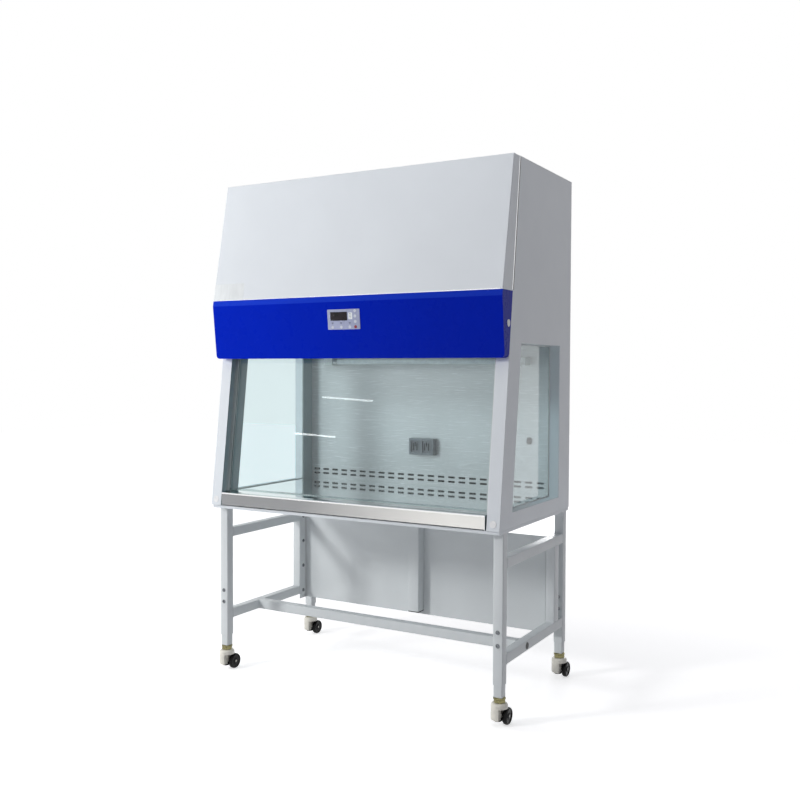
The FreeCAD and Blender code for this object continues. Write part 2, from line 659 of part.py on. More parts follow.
def stand_bolt(name, seat, axis):
    """A button-head bolt from its seat, with its shank along the axis."""
    back = {"x": "-x", "-x": "x", "y": "-y"}[axis]
    shank = cylinder(name + "_shank", seat, axis, "bolt_radius", "bolt_length")
    head = cylinder(name + "_head", seat, back, "bolt_head_radius", "bolt_head")
    rounded = doc.addObject("Part::Fillet", name + "_rounded")
    rounded.Base = head
    doc.recompute()
    far_edge = outer_rim(head.Shape, AXIS_TURNS[back].multVec(Vector(0, 0, 1)))
    rounding = value("bolt_head * bolt_head_round")
    rounded.Edges = [(far_edge, rounding, rounding)]
    return join(name, [shank, rounded])


def outer_rim(shape, direction):
    """The number of the round edge that lies furthest along a direction."""
    round_edges = [(edge.CenterOfMass.dot(direction), index + 1)
                   for index, edge in enumerate(shape.Edges) if edge.Closed]
    return max(round_edges)[1]


def stand_bolts():
    """All the bolts of the stand, which are alike."""
    bolts = []
    for side, sign in SIDES.items():
        outward = "x" if sign > 0 else "-x"
        inward = "-x" if sign > 0 else "x"
        for place, leg_y in (("front", "leg_front_inset"), ("back", "back_leg_y")):
            for step in range(2):
                seat = ("%d * leg_mid_x" % sign, leg_y, "leg_bolt_z + %d * leg_bolt_pitch" % step)
                bolts.append(stand_bolt("bolt_%s_%s%d" % (place, side, step), seat, "y"))
        for step in range(PANEL_BOLTS):
            seat = ("%d * (rail_x - skin)" % sign, "panel_bolt_y",
                    "panel_bolt_z + %d * panel_bolt_pitch" % step)
            bolts.append(stand_bolt("bolt_panel_%s%d" % (side, step), seat, outward))
        seat = ("%d * (rail_x + tube_wall)" % sign, "beam_mid_y", "beam_mid_z")
        bolts.append(stand_bolt("bolt_beam_" + side, seat, inward))
    return node(group("stand_bolts", bolts), "stand_bolts")


def plastic_plugs():
    """Plugs over the beam's access holes and the plug in the foot of the centre stiffener."""
    plugs = []
    for side, sign in SIDES.items():
        outward = "x" if sign > 0 else "-x"
        inward = "-x" if sign > 0 else "x"
        seat = ("%d * leg_x" % sign, "beam_mid_y", "beam_mid_z")
        flange = cylinder("rail_plug_flange_" + side, seat, outward, "cap_flange_radius", "cap_flange")
        spigot = cylinder("rail_plug_spigot_" + side, seat, inward,
                          "access_radius - running_gap", "tube_wall + 2")
        plugs.append(join("rail_plug_" + side, [flange, spigot]))
    low_y = "panel_y - stiffener"
    flange = box("stiffener_plug_flange", ("-stiffener / 2", low_y, "lower_rail_z - plug_flange"),
                 ("stiffener", "stiffener", "plug_flange"))
    inset = "tube_wall + tube_gap"
    spigot = box("stiffener_plug_spigot",
                 ("-stiffener / 2 + %s" % inset, "%s + %s" % (low_y, inset), "lower_rail_z"),
                 ("stiffener - 2 * (%s)" % inset, "stiffener - 2 * (%s)" % inset, "plug_depth"))
    plugs.append(join("stiffener_plug", [flange, spigot]))
    return node(group("plastic_plugs", plugs), "plastic_plugs")


# Casters with levelling feet

def caster_stems():
    """Stem with its hex collar, and the rivet head that holds the housing, for each caster."""
    stems = []
    for corner, mid_x, mid_y in leg_corners():
        name = "caster_stem_" + corner
        shank = cylinder(name + "_shank", (mid_x, mid_y, "stem_foot_z"), "z", "stem_radius",
                         "inner_leg_z + stem_grip - stem_foot_z")
        rivet = cylinder(name + "_rivet", (mid_x, mid_y, "stem_foot_z"), "z", "rivet_radius", "rivet_height")
        collar = doc.addObject("Part::Prism", name + "_collar")
        collar.Polygon = 6
        tie(collar, "Circumradius", "nut_flats / sqrt(3)")
        tie(collar, "Height", "nut_height")
        set_base(collar, mid_x, mid_y, "collar_z")
        stems.append(join(name, [shank, rivet, collar]))
    return node(group("caster_stems", stems), "caster_stems")


def caster_housing(corner, mid_x, mid_y):
    """Bell-shaped casting beside the wheel, with the wheel's axle riveted through its cheek."""
    name = "caster_housing_" + corner
    bell = cylinder(name + "_bell", (mid_x, mid_y, "housing_z"), "z", "housing_radius",
                    "housing_top_z - housing_z")
    dome = doc.addObject("Part::Fillet", name + "_dome")
    dome.Base = bell
    doc.recompute()
    dome.Edges = [(outer_rim(bell.Shape, Vector(0, 0, 1)), value("dome_round"), value("dome_round"))]
    cheek = box(name + "_cheek", ("%s - 2" % mid_x, mid_y, "housing_z"),
                ("cheek_x + 2", "cheek_depth", "roof_z - housing_z"))
    wheel_room = box(name + "_wheel_room", ("%s + cheek_x" % mid_x, "%s - 2 * housing_radius" % mid_y, "0"),
                     ("2 * housing_radius", "4 * housing_radius", "roof_z"))
    pad_x = "%s - pad_offset" % mid_x
    pad_room = cylinder(name + "_pad_room", (pad_x, mid_y, "0"), "z", "pad_radius + pad_gap", "pad_web_z")
    screw_bore = cylinder(name + "_screw_bore", (pad_x, mid_y, "0"), "z", "pad_screw_radius + running_gap",
                          "roof_z - 1")
    well = cylinder(name + "_well", (mid_x, mid_y, "pad_web_top_z"), "z", "rivet_radius + 1",
                    "roof_z - pad_web_top_z")
    stem_bore = cylinder(name + "_stem_bore", (mid_x, mid_y, "pad_web_top_z"), "z",
                         "stem_radius + running_gap", "housing_top_z")
    axle = ("%s - axle_grip" % mid_x, "%s + caster_trail" % mid_y, "wheel_radius")
    axle_bore = cylinder(name + "_axle_bore", axle, "x",
                         "axle_radius + running_gap / 2", "2 * housing_radius")
    casting = cut(name + "_casting", join(name + "_blank", [dome, cheek]),
                  [wheel_room, pad_room, screw_bore, well, stem_bore, axle_bore])
    pin = cylinder(name + "_pin", axle, "x", "axle_radius", "axle_grip + housing_radius - axle_end")
    return node(group(name, [casting, pin]), name)


def caster_wheel(corner, mid_x, mid_y):
    """Wheel with rounded shoulders, turned as one piece."""
    name = "caster_wheel_" + corner
    body = doc.addObject("PartDesign::Body", name)
    corners = [
        ("0", "axle_radius + running_gap"),
        ("wheel_width", "axle_radius + running_gap"),
        ("wheel_width", "hub_radius"),
        ("wheel_width - web_depth", "web_radius"),
        ("wheel_width - web_depth", "web_edge_radius"),
        ("wheel_width", "rim_radius"),
        ("wheel_width", "wheel_radius - wheel_shoulder"),
        ("wheel_width - wheel_shoulder", "wheel_radius"),
        ("wheel_shoulder", "wheel_radius"),
        ("0", "wheel_radius - wheel_shoulder"),
    ]
    sketch = outline(body, name + "_outline", "XY_Plane", corners)
    turned = body.newObject("PartDesign::Revolution", name + "_turned")
    turned.Profile = sketch
    turned.ReferenceAxis = (sketch, ["H_Axis"])
    turned.Angle = 360
    set_base(body, "%s + wheel_x" % mid_x, "%s + caster_trail" % mid_y, "wheel_radius")
    return node(body, name)


def foot_pad(corner, mid_x, mid_y):
    """Rubber pad on a screw beside the wheel, which lifts the wheel off the floor when it is run down."""
    name = "foot_pad_" + corner
    pad_x = "%s - pad_offset" % mid_x
    pad = cylinder(name + "_pad", (pad_x, mid_y, "pad_z"), "z", "pad_radius", "pad_height")
    screw = cylinder(name + "_screw", (pad_x, mid_y, "pad_z"), "z",
                     "pad_screw_radius", "pad_height + pad_screw")
    return node(join(name, [pad, screw]), name)


# Cabinet shell

def base_pan():
    """Shallow pan with a skirt, on the legs."""
    width = "cabinet_width - 2 * pan_inset"
    depth = "cabinet_depth - pan_front_inset - pan_inset"
    corner_x = "-half_width + pan_inset"
    skirt_z = "stand_height - pan_skirt"
    outside = box("base_pan_outside", (corner_x, "pan_front_inset", skirt_z),
                  (width, depth, "pan_skirt + pan_sheet"))
    inside = box("base_pan_inside", ("%s + skin" % corner_x, "pan_front_inset + skin", "%s - 1" % skirt_z),
                 ("%s - 2 * skin" % width, "%s - 2 * skin" % depth, "pan_skirt + 1"))
    return node(cut("base_pan", outside, [inside]), "base_pan")


def work_tray():
    """Stainless work surface with its front lip and three skirts that stand on the base pan."""
    half = "(inner_x - tray_gap)"
    depth = "(back_wall_y - fit_gap)"
    outside = box("work_tray_outside", ("-%s" % half, "0", "body_z"), ("2 * %s" % half, depth, "tray_rise"))
    inside = box("work_tray_inside", ("-%s + skin" % half, "skin", "body_z - 1"),
                 ("2 * %s - 2 * skin" % half, "%s - 2 * skin" % depth, "tray_rise + 1 - skin"))
    under_lip = box("work_tray_under_lip", ("-%s + skin" % half, "-1", "body_z - 1"),
                    ("2 * %s - 2 * skin" % half, "skin + 2", "tray_rise - lip_height + 1"))
    return node(cut("work_tray", outside, [inside, under_lip]), "work_tray")


def window_corners(clearance):
    """Outline of a side window, with a clearance inside its upright and upper edges."""
    low = "worktop_z"
    high = "(window_top_z - %s)" % clearance
    front = "window_front_margin + %s" % clearance
    back = "cabinet_depth - window_back_margin - %s" % clearance
    return [("%s + %s" % (front_line(low), front), low), (back, low), (back, high),
            ("%s + %s" % (front_line(high), front), high)]


def side_wall(side, sign):
    """Hollow wall of folded sheet round its window, open at its top under the top cover."""
    name = "side_wall_" + side
    corners = [("0", "body_z"), ("cabinet_depth", "body_z"), ("cabinet_depth", "wall_top_z"),
               (front_line("wall_top_z"), "wall_top_z")]
    body, pad = prism(name, "YZ_Plane", corners, "wall_width", [window_corners("0")])
    hollow(body, pad, "skin", faces_at_height("wall_top_z"))
    set_base(body, "inner_x" if sign > 0 else "-half_width", "0", "0")
    return node(body, name)


def faces_at_height(height):
    def test(face):
        return face.BoundBox.ZLength < 1e-6 and abs(face.BoundBox.ZMax - value(height)) < 1e-6
    return test


def side_glass(side, sign):
    """Pane that stands on the lower edge of a side window, near the chamber's side."""
    name = "side_glass_" + side
    body, pad = prism(name, "YZ_Plane", window_corners("fit_gap"), "glass")
    set_base(body, "inner_x + fit_gap" if sign > 0 else "-inner_x - fit_gap - glass", "0", "0")
    return node(body, name)


def chamber_back_panel():
    """Back wall of the chamber with two rows of return air slots above the work surface."""
    name = "chamber_back_panel"
    body = doc.addObject("PartDesign::Body", name)
    half = "(inner_x - fit_gap)"
    corners = [("-%s" % half, "body_z"), (half, "body_z"), (half, "ceiling_z - fit_gap"),
               ("-%s" % half, "ceiling_z - fit_gap")]
    pad = body.newObject("PartDesign::Pad", name + "_pad")
    pad.Profile = outline(body, name + "_outline", "XZ_Plane", corners)
    tie(pad, "Length", "cover_skin")
    slots = body.newObject("Sketcher::SketchObject", name + "_slots")
    plane = next(item for item in body.Origin.OriginFeatures if item.Role == "XZ_Plane")
    slots.AttachmentSupport = [(plane, "")]
    slots.MapMode = "FlatFace"
    left = "-slot_first_x - slot_length / 2"
    right = "-slot_first_x + slot_length / 2"
    for row in range(2):
        middle = "worktop_z + slot_low_rise + %d * slot_row_gap" % row
        low = "%s - slot_height / 2" % middle
        high = "%s + slot_height / 2" % middle
        add_loop(slots, [(left, low), (right, low), (right, high), (left, high)])
    doc.recompute()
    pocket = body.newObject("PartDesign::Pocket", name + "_pocket")
    pocket.Profile = slots
    pocket.Type = "ThroughAll"
    pocket.Reversed = True
    doc.recompute()
    pattern = body.newObject("PartDesign::LinearPattern", name + "_pattern")
    pattern.Originals = [pocket]
    pattern.Direction = (slots, ["H_Axis"])
    tie(pattern, "Length", "(slot_count - 1) * slot_pitch")
    tie(pattern, "Occurrences", "slot_count")
    body.Tip = pattern
    set_base(body, "0", "back_wall_y + cover_skin", "0")
    return node(body, name)


def rear_cover():
    """Outer back sheet between the side walls, with side flanges and the hole for the mains gland."""
    half = "(inner_x - fit_gap)"
    height = "wall_height - fit_gap"
    outside = box("rear_cover_outside", ("-%s" % half, "cabinet_depth - rear_fold", "body_z"),
                  ("2 * %s" % half, "rear_fold", height))
    inside = box("rear_cover_inside", ("-%s + skin" % half, "cabinet_depth - rear_fold - 1", "body_z - 1"),
                 ("2 * %s - 2 * skin" % half, "rear_fold + 1 - cover_skin", "%s + 2" % height))
    hole = cylinder("rear_cover_hole", ("gland_x", "cabinet_depth - cover_skin - 1", "gland_z"), "y",
                    "gland_thread_radius + running_gap", "cover_skin + 2")
    return node(cut("rear_cover", outside, [inside, hole]), "rear_cover")


def top_cover():
    """Flat lid over the side walls with the air intake's opening."""
    start = front_line("top_z")
    plate = box("top_cover_plate", ("-half_width", start, "wall_top_z"),
                ("cabinet_width", "cabinet_depth - (%s)" % start, "cover_skin"))
    opening = box("top_cover_opening",
                  ("-prefilter_width / 2 + intake_margin", "prefilter_y + intake_margin", "wall_top_z - 1"),
                  ("prefilter_width - 2 * intake_margin", "prefilter_depth - 2 * intake_margin",
                    "cover_skin + 2"))
    return node(cut("top_cover", plate, [opening]), "top_cover")


def head_cover():
    """Sloping sheet cover over the front of the blower space, open at its back and its foot."""
    name = "head_cover"
    rise = "(top_z - head_foot_z)"
    corners = [
        ("head_foot_y", "head_foot_z"),
        (front_line("head_foot_z"), "head_foot_z"),
        (front_line("top_z"), "top_z"),
        ("head_foot_y + %s * tan(head_slope)" % rise, "top_z"),
    ]
    body, pad = prism(name, "YZ_Plane", corners, "cabinet_width")
    foot = faces_at_height("head_foot_z")
    back = faces_towards(back_normal())
    hollow(body, pad, "cover_skin", lambda face: foot(face) or back(face))
    set_base(body, "-half_width", "0", "0")
    return node(body, name)


def back_normal():
    """The direction that the backs of the front covers look in, along the side walls' sloping edge."""
    slope = math.radians(value("front_slope"))
    return Vector(0, math.cos(slope), -math.sin(slope))


KEY_COLUMN = 4
KEY_ROW = 3


def key_places():
    """Each key's name with its place from the middle of the control plate."""
    names = ["key_up", "key_down", "key_set", "key_power"]
    for step in range(KEY_COLUMN):
        yield names[step], "column_x", "column_rise - %d * column_pitch" % step
    names = ["key_light", "key_sterilise", "key_fan"]
    row_rise = "column_rise - %d * column_pitch" % (KEY_COLUMN - 1)
    for step in range(KEY_ROW):
        yield names[step], "row_x + %d * row_pitch" % step, row_rise


def key_bores():
    """Holes for all the keys through the plate, the fascia and into the controller."""
    bores = [face_pin(name + "_bore", x, "-key_top - 1", rise, "key_radius + running_gap", "key_length + 3")
             for name, x, rise in key_places()]
    return group("key_bores", bores)


def control_fascia(bores):
    """Blue cover across the front, with a bevel along its top and rounded lower corners."""
    name = "control_fascia"
    corners = [
        ("fascia_foot_y", "fascia_z"),
        (front_line("fascia_z"), "fascia_z"),
        (front_line("fascia_top_z"), "fascia_top_z"),
        ("nose_y + fascia_bevel_back", "fascia_top_z"),
        ("nose_y", "nose_z"),
    ]
    body, pad = prism(name + "_body", "YZ_Plane", corners, "cabinet_width")
    rounds = body.newObject("PartDesign::Fillet", name + "_rounds")
    foot = value("fascia_z")
    picked = ["Edge%d" % (index + 1) for index, edge in enumerate(pad.Shape.Edges)
              if edge.BoundBox.XLength < 1e-6 and abs(edge.BoundBox.ZMax - foot) < 1e-6]
    rounds.Base = (pad, picked)
    tie(rounds, "Radius", "fascia_round")
    doc.recompute()
    hollow(body, rounds, "cover_skin", faces_towards(back_normal()))
    set_base(body, "-half_width", "0", "0")
    return node(cut(name, body, [bores]), name)


# Controls

def control_panel(bores):
    """Plate on the fascia's face that carries the display window and the keys."""
    plate = face_box("control_panel_plate", "-plate_width / 2", "-plate_thickness", "-plate_height / 2",
                     ("plate_width", "plate_thickness", "plate_height"))
    return node(cut("control_panel", plate, [bores]), "control_panel")


def display_window():
    """Dark window of the display, on the control plate."""
    pane = face_box("display_window", "window_x - window_width / 2", "-plate_thickness - 1",
                    "window_rise - window_tall / 2", ("window_width", "1", "window_tall"))
    return node(pane, "display_window")


def keys():
    """Push keys that slide straight into the fascia's face."""
    return [node(face_pin(name, x, "-key_top", rise, "key_radius", "key_length"), name)
            for name, x, rise in key_places()]


def controller_box(bores):
    """Electronics box behind the fascia, with the wells of the key switches."""
    case = face_box("controller_case", "-plate_width / 2", "cover_skin", "-plate_height / 2",
                    ("plate_width", "box_depth", "plate_height"))
    return node(cut("controller_box", case, [bores]), "controller_box")


# Sash

def sash_glass():
    """Sliding front pane, with both edges in the guides."""
    half = "(inner_x - guide_width + guide_groove - 1)"
    pane = leaning_box("sash_glass", "-%s" % half, "sash_offset + (sash_rail_depth - glass) / 2",
                       "sash_clear + sash_groove_rise", ("2 * %s" % half, "glass", "sash_length"))
    return node(pane, "sash_glass")


def sash_rail():
    """Grooved metal rail on the lower edge of the sash's pane."""
    half = "(inner_x - guide_width - 1)"
    bar = leaning_box("sash_rail_bar", "-%s" % half, "sash_offset", "sash_clear",
                      ("2 * %s" % half, "sash_rail_depth", "sash_rail_height"))
    groove = leaning_box("sash_rail_groove", "-%s - 1" % half, "sash_offset + (sash_rail_depth - glass) / 2",
                         "sash_clear + sash_groove_rise", ("2 * %s + 2" % half, "glass", "sash_rail_height"))
    return node(cut("sash_rail", bar, [groove]), "sash_rail")


def sash_guides():
    """Grooved guides on the inner faces of the side walls."""
    guides = []
    middle = "sash_offset + sash_rail_depth / 2"
    groove_depth = "glass + 2 * groove_gap"
    for side, sign in SIDES.items():
        start = "inner_x - guide_width" if sign > 0 else "-inner_x"
        groove_start = "inner_x - guide_width - 1" if sign > 0 else "-inner_x + guide_width - guide_groove"
        bar = leaning_box("sash_guide_bar_" + side, start, "%s - guide_depth / 2" % middle, "guide_clear",
                          ("guide_width", "guide_depth", "guide_length"))
        groove = leaning_box("sash_guide_groove_" + side, groove_start,
                             "%s - (%s) / 2" % (middle, groove_depth),
                             "guide_clear - 1", ("guide_groove + 1", groove_depth, "guide_length + 2"))
        guides.append(cut("sash_guide_" + side, bar, [groove]))
    return node(group("sash_guides", guides), "sash_guides")


def cover_caps():
    """Round caps over the fixing screws, on the front posts and on the fascia's sides."""
    caps = []
    for side, sign in SIDES.items():
        outward = "x" if sign > 0 else "-x"
        cap = doc.addObject("Part::Cylinder", "post_cap_" + side)
        tie(cap, "Radius", "cap_flange_radius")
        tie(cap, "Height", "cap_flange")
        cap.Placement = Placement(Vector(), Rotation(Vector(1, 0, 0), 80))
        lean(cap, "0", "-cap_rise", "%d * (half_width - cap_post_x)" % sign)
        tie(cap, "Placement.Rotation.Angle", "90 - front_slope")
        caps.append(cap)
        height = "fascia_z + side_cap_rise"
        back = "%s - side_cap_back" % front_line(height)
        caps.append(cylinder("side_cap_" + side, ("%d * half_width" % sign, back, height), outward,
                             "cap_flange_radius", "cap_flange"))
    return node(group("cover_caps", caps), "cover_caps")


# Air system

def plenum_box():
    """Pressure box above the chamber: its ledge carries the filter and its deck carries the blower."""
    half = "inner_x"
    depth = "(cabinet_depth - cover_skin - rear_gap - plenum_y)"
    outside = box("plenum_outside", ("-%s" % half, "plenum_y", "ceiling_z"),
                  ("2 * %s" % half, depth, "plenum_height"))
    inside = box("plenum_inside", ("-%s + skin" % half, "plenum_y + skin", "ceiling_z + skin"),
                 ("2 * (%s - skin)" % half, "%s - 2 * skin" % depth, "plenum_height - 2 * skin"))
    mouth = box("plenum_mouth", ("-%s + plenum_ledge" % half, "plenum_y + plenum_ledge", "ceiling_z - 1"),
                ("2 * (%s - plenum_ledge)" % half, "%s - 2 * plenum_ledge" % depth, "skin + 2"))
    throat = box("plenum_throat",
                 ("-blower_width / 2 + cover_skin", "blower_y - outlet_depth / 2 + cover_skin",
                  "deck_z - skin - 1"),
                 ("blower_width - 2 * cover_skin", "outlet_depth - 2 * cover_skin", "skin + 2"))
    return node(cut("plenum_box", outside, [inside, mouth, throat]), "plenum_box")


def filter_spans():
    """Corner and lengths of the filter inside the plenum box."""
    low_x = "-inner_x + skin + filter_gap"
    low_y = "plenum_y + skin + filter_gap"
    depth = "cabinet_depth - cover_skin - rear_gap - plenum_y - 2 * (skin + filter_gap)"
    return (low_x, low_y, "ceiling_z + skin"), ("-2 * (%s)" % low_x, depth, "filter_height")


def filter_frame():
    """Rigid frame of the high efficiency filter, on the plenum's ledge."""
    corner, size = filter_spans()
    outside = box("filter_frame_outside", corner, size)
    inside = box("filter_frame_inside",
                 ("%s + filter_frame" % corner[0], "%s + filter_frame" % corner[1], "%s - 1" % corner[2]),
                 ("%s - 2 * filter_frame" % size[0], "%s - 2 * filter_frame" % size[1], "filter_height + 2"))
    return node(cut("filter_frame", outside, [inside]), "filter_frame")


def filter_media():
    """Pleated pack of the filter, as one block inside its frame."""
    corner, size = filter_spans()
    pack = box("filter_media", ("%s + filter_frame" % corner[0], "%s + filter_frame" % corner[1],
                                "%s + media_inset" % corner[2]),
               ("%s - 2 * filter_frame" % size[0], "%s - 2 * filter_frame" % size[1],
                "filter_height - 2 * media_inset"))
    return node(pack, "filter_media")


def diffuser_screen():
    """Slotted sheet below the filter that evens out the flow of air."""
    name = "diffuser_screen"
    half = "(inner_x - plenum_ledge / 2)"
    depth = "(back_wall_y - fit_gap - plenum_y - plenum_ledge)"
    low_y = "(plenum_y + plenum_ledge)"
    body = doc.addObject("PartDesign::Body", name)
    corners = [("-%s" % half, "0"), (half, "0"), (half, depth), ("-%s" % half, depth)]
    pad = body.newObject("PartDesign::Pad", name + "_pad")
    pad.Profile = outline(body, name + "_outline", "XY_Plane", corners)
    tie(pad, "Length", "screen_sheet")
    pitch = "(2 * %s / screen_slots)" % half
    slot_low = "-%s + %s * (1 - screen_open) / 2" % (half, pitch)
    slot_high = "-%s + %s * (1 + screen_open) / 2" % (half, pitch)
    slot_front = "screen_margin"
    slot_back = "%s - screen_margin" % depth
    slot = outline(body, name + "_slot", "XY_Plane",
                   [(slot_low, slot_front), (slot_high, slot_front),
                    (slot_high, slot_back), (slot_low, slot_back)])
    doc.recompute()
    pocket = body.newObject("PartDesign::Pocket", name + "_pocket")
    pocket.Profile = slot
    pocket.Type = "ThroughAll"
    pocket.Reversed = True
    doc.recompute()
    pattern = body.newObject("PartDesign::LinearPattern", name + "_pattern")
    pattern.Originals = [pocket]
    pattern.Direction = (slot, ["H_Axis"])
    tie(pattern, "Length", "(screen_slots - 1) * %s" % pitch)
    tie(pattern, "Occurrences", "screen_slots")
    body.Tip = pattern
    set_base(body, "0", low_y, "ceiling_z - screen_sheet")
    return node(body, name)


def blower_housing():
    """Round housing with an inlet in each side and an outlet down to the plenum."""
    half = "blower_width / 2"
    outlet_y = "blower_y - outlet_depth / 2"
    drum = cylinder("blower_drum", ("-%s" % half, "blower_y", "blower_z"), "x",
                    "blower_radius", "blower_width")
    outlet = box("blower_outlet", ("-%s" % half, outlet_y, "deck_z"),
                 ("blower_width", "outlet_depth", "blower_rise"))
    drum_inside = cylinder("blower_drum_inside", ("-%s + cover_skin" % half, "blower_y", "blower_z"), "x",
                           "blower_radius - cover_skin", "blower_width - 2 * cover_skin")
    outlet_inside = box("blower_outlet_inside",
                        ("-%s + cover_skin" % half, "%s + cover_skin" % outlet_y, "deck_z - 1"),
                        ("blower_width - 2 * cover_skin", "outlet_depth - 2 * cover_skin", "blower_rise"))
    inlets = cylinder("blower_inlets", ("-%s - 1" % half, "blower_y", "blower_z"), "x", "inlet_radius",
                      "blower_width + 2")
    shell = join("blower_shell", [drum, outlet])
    return node(cut("blower_housing", shell, [drum_inside, outlet_inside, inlets]), "blower_housing")


def blower_impeller():
    """Drum impeller: a shaft, a centre disc, two rims and a ring of blades."""
    shaft = cylinder("impeller_shaft", ("-drum_width / 2", "blower_y", "blower_z"), "x", "shaft_radius",
                     "drum_width / 2 + blower_width / 2 + motor_gap + motor_length / 2")
    disc = cylinder("impeller_disc", ("-drum_disc / 2", "blower_y", "blower_z"), "x",
                    "drum_radius", "drum_disc")
    pieces = [shaft, disc]
    for side, start in (("left", "-drum_width / 2"), ("right", "drum_width / 2 - drum_rim")):
        outer = cylinder("impeller_rim_" + side, (start, "blower_y", "blower_z"), "x",
                         "drum_radius", "drum_rim")
        inner = cylinder("impeller_eye_" + side, (start, "blower_y", "blower_z"), "x",
                         "drum_radius - blade_depth", "drum_rim")
        pieces.append(cut("impeller_ring_" + side, outer, [inner]))
    pieces.append(impeller_blades())
    return node(join("blower_impeller", pieces), "blower_impeller")


def impeller_blades():
    """The ring of blades, set from the sheet's own numbers."""
    width = value("drum_width")
    outer = value("drum_radius - blade_bite")
    depth = value("blade_depth - 2 * blade_bite")
    thick = value("blade_sheet")
    blade = Part.makeBox(width, thick, depth, Vector(-width / 2, -thick / 2, outer - depth))
    blade.rotate(Vector(0, 0, outer - depth / 2), Vector(1, 0, 0), value("blade_lean"))
    count = int(value("blade_count"))
    ring = []
    for step in range(count):
        copy = blade.copy()
        copy.rotate(Vector(), Vector(1, 0, 0), 360 * step / count)
        ring.append(copy)
    blades = doc.addObject("Part::Feature", "impeller_blades")
    blades.Shape = Part.makeCompound(ring)
    set_base(blades, "0", "blower_y", "blower_z")
    return blades


def blower_motor():
    """Motor on a pedestal beside the blower housing, round the end of the shaft."""
    start = "blower_width / 2 + motor_gap"
    can = cylinder("motor_can", (start, "blower_y", "blower_z"), "x", "motor_radius", "motor_length")
    pedestal = box("motor_pedestal", ("%s + pedestal_inset" % start, "blower_y - motor_radius", "deck_z"),
                   ("motor_length - 2 * pedestal_inset", "2 * motor_radius",
                    "blower_rise - motor_radius / 2"))
    bore = cylinder("motor_bore", ("%s - 1" % start, "blower_y", "blower_z"), "x",
                    "shaft_radius + running_gap", "motor_length / 2 + 2")
    return node(cut("blower_motor", join("motor_blank", [can, pedestal]), [bore]), "blower_motor")


def prefilter():
    """Coarse filter that hangs under the intake opening in the top cover."""
    pack = box("prefilter", ("-prefilter_width / 2", "prefilter_y", "wall_top_z - prefilter_height"),
               ("prefilter_width", "prefilter_depth", "prefilter_height"))
    return node(pack, "prefilter")


# Lamps and fittings

def uv_lamp():
    """Ultraviolet tube along the top of the back wall."""
    tube = cylinder("uv_lamp", ("-lamp_length / 2", "lamp_y", "lamp_z"), "x", "lamp_radius", "lamp_length")
    return node(tube, "uv_lamp")


def uv_lamp_holders():
    """Holder at each end of the ultraviolet tube, on the back wall."""
    holders = []
    for side, sign in SIDES.items():
        start = "lamp_length / 2" if sign > 0 else "-lamp_length / 2 - holder_width"
        holders.append(box("uv_lamp_holder_" + side,
                           (start, "lamp_y - lamp_radius - holder_lip", "lamp_z - holder_height / 2"),
                           ("holder_width", "lamp_standoff + lamp_radius + holder_lip", "holder_height")))
    return node(group("uv_lamp_holders", holders), "uv_lamp_holders")


def chamber_light():
    """Light strip under the front of the plenum box, hidden by the fascia."""
    strip = box("chamber_light", ("-light_length / 2", "plenum_y - light_lead", "ceiling_z - light_size"),
                ("light_length", "light_size", "light_size"))
    return node(strip, "chamber_light")


def socket_outlet():
    """Twin power socket on the back wall, with a recess for each outlet."""
    face_y = "back_wall_y - socket_depth"
    low_z = "socket_z - socket_height / 2"
    case = box("socket_case", ("socket_x - socket_width / 2", face_y, low_z),
               ("socket_width", "socket_depth", "socket_height"))
    low_x = "socket_x - socket_width / 2 + socket_margin"
    recesses = [box("socket_recess%d" % step,
                    ("%s + %d * (recess_width + recess_gap)" % (low_x, step), "%s - 1" % face_y,
                     "%s + socket_rim" % low_z),
                    ("recess_width", "recess + 1", "socket_height - 2 * socket_rim")) for step in range(2)]
    return node(cut("socket_outlet", case, recesses), "socket_outlet")


def wall_plug():
    """Oval plug in the back wall."""
    low = "worktop_z + plug_rise - plug_stretch / 2"
    start_y = "back_wall_y - plug_stand"
    ends = [cylinder("wall_plug_end%d" % step,
                     ("plug_x", start_y, "%s + %d * plug_stretch" % (low, step)), "y",
                     "plug_radius", "plug_stand") for step in range(2)]
    middle = box("wall_plug_middle", ("plug_x - plug_radius", start_y, low),
                 ("2 * plug_radius", "plug_stand", "plug_stretch"))
    return node(join("wall_plug", ends + [middle]), "wall_plug")


def mains_gland():
    """Gland for the mains cable in the rear cover."""
    seat_y = "cabinet_depth"
    nut = cylinder("gland_nut", ("gland_x", seat_y, "gland_z"), "y", "gland_radius", "gland_length")
    inner_y = "%s - cover_skin - gland_grip" % seat_y
    thread = cylinder("gland_thread", ("gland_x", inner_y, "gland_z"), "y",
                      "gland_thread_radius", "cover_skin + gland_grip")
    bore = cylinder("gland_bore", ("gland_x", "%s - 1" % inner_y, "gland_z"), "y",
                    "cable_radius", "gland_length + cover_skin + gland_grip + 2")
    return node(cut("mains_gland", join("gland_blank", [nut, thread]), [bore]), "mains_gland")


# Assembly

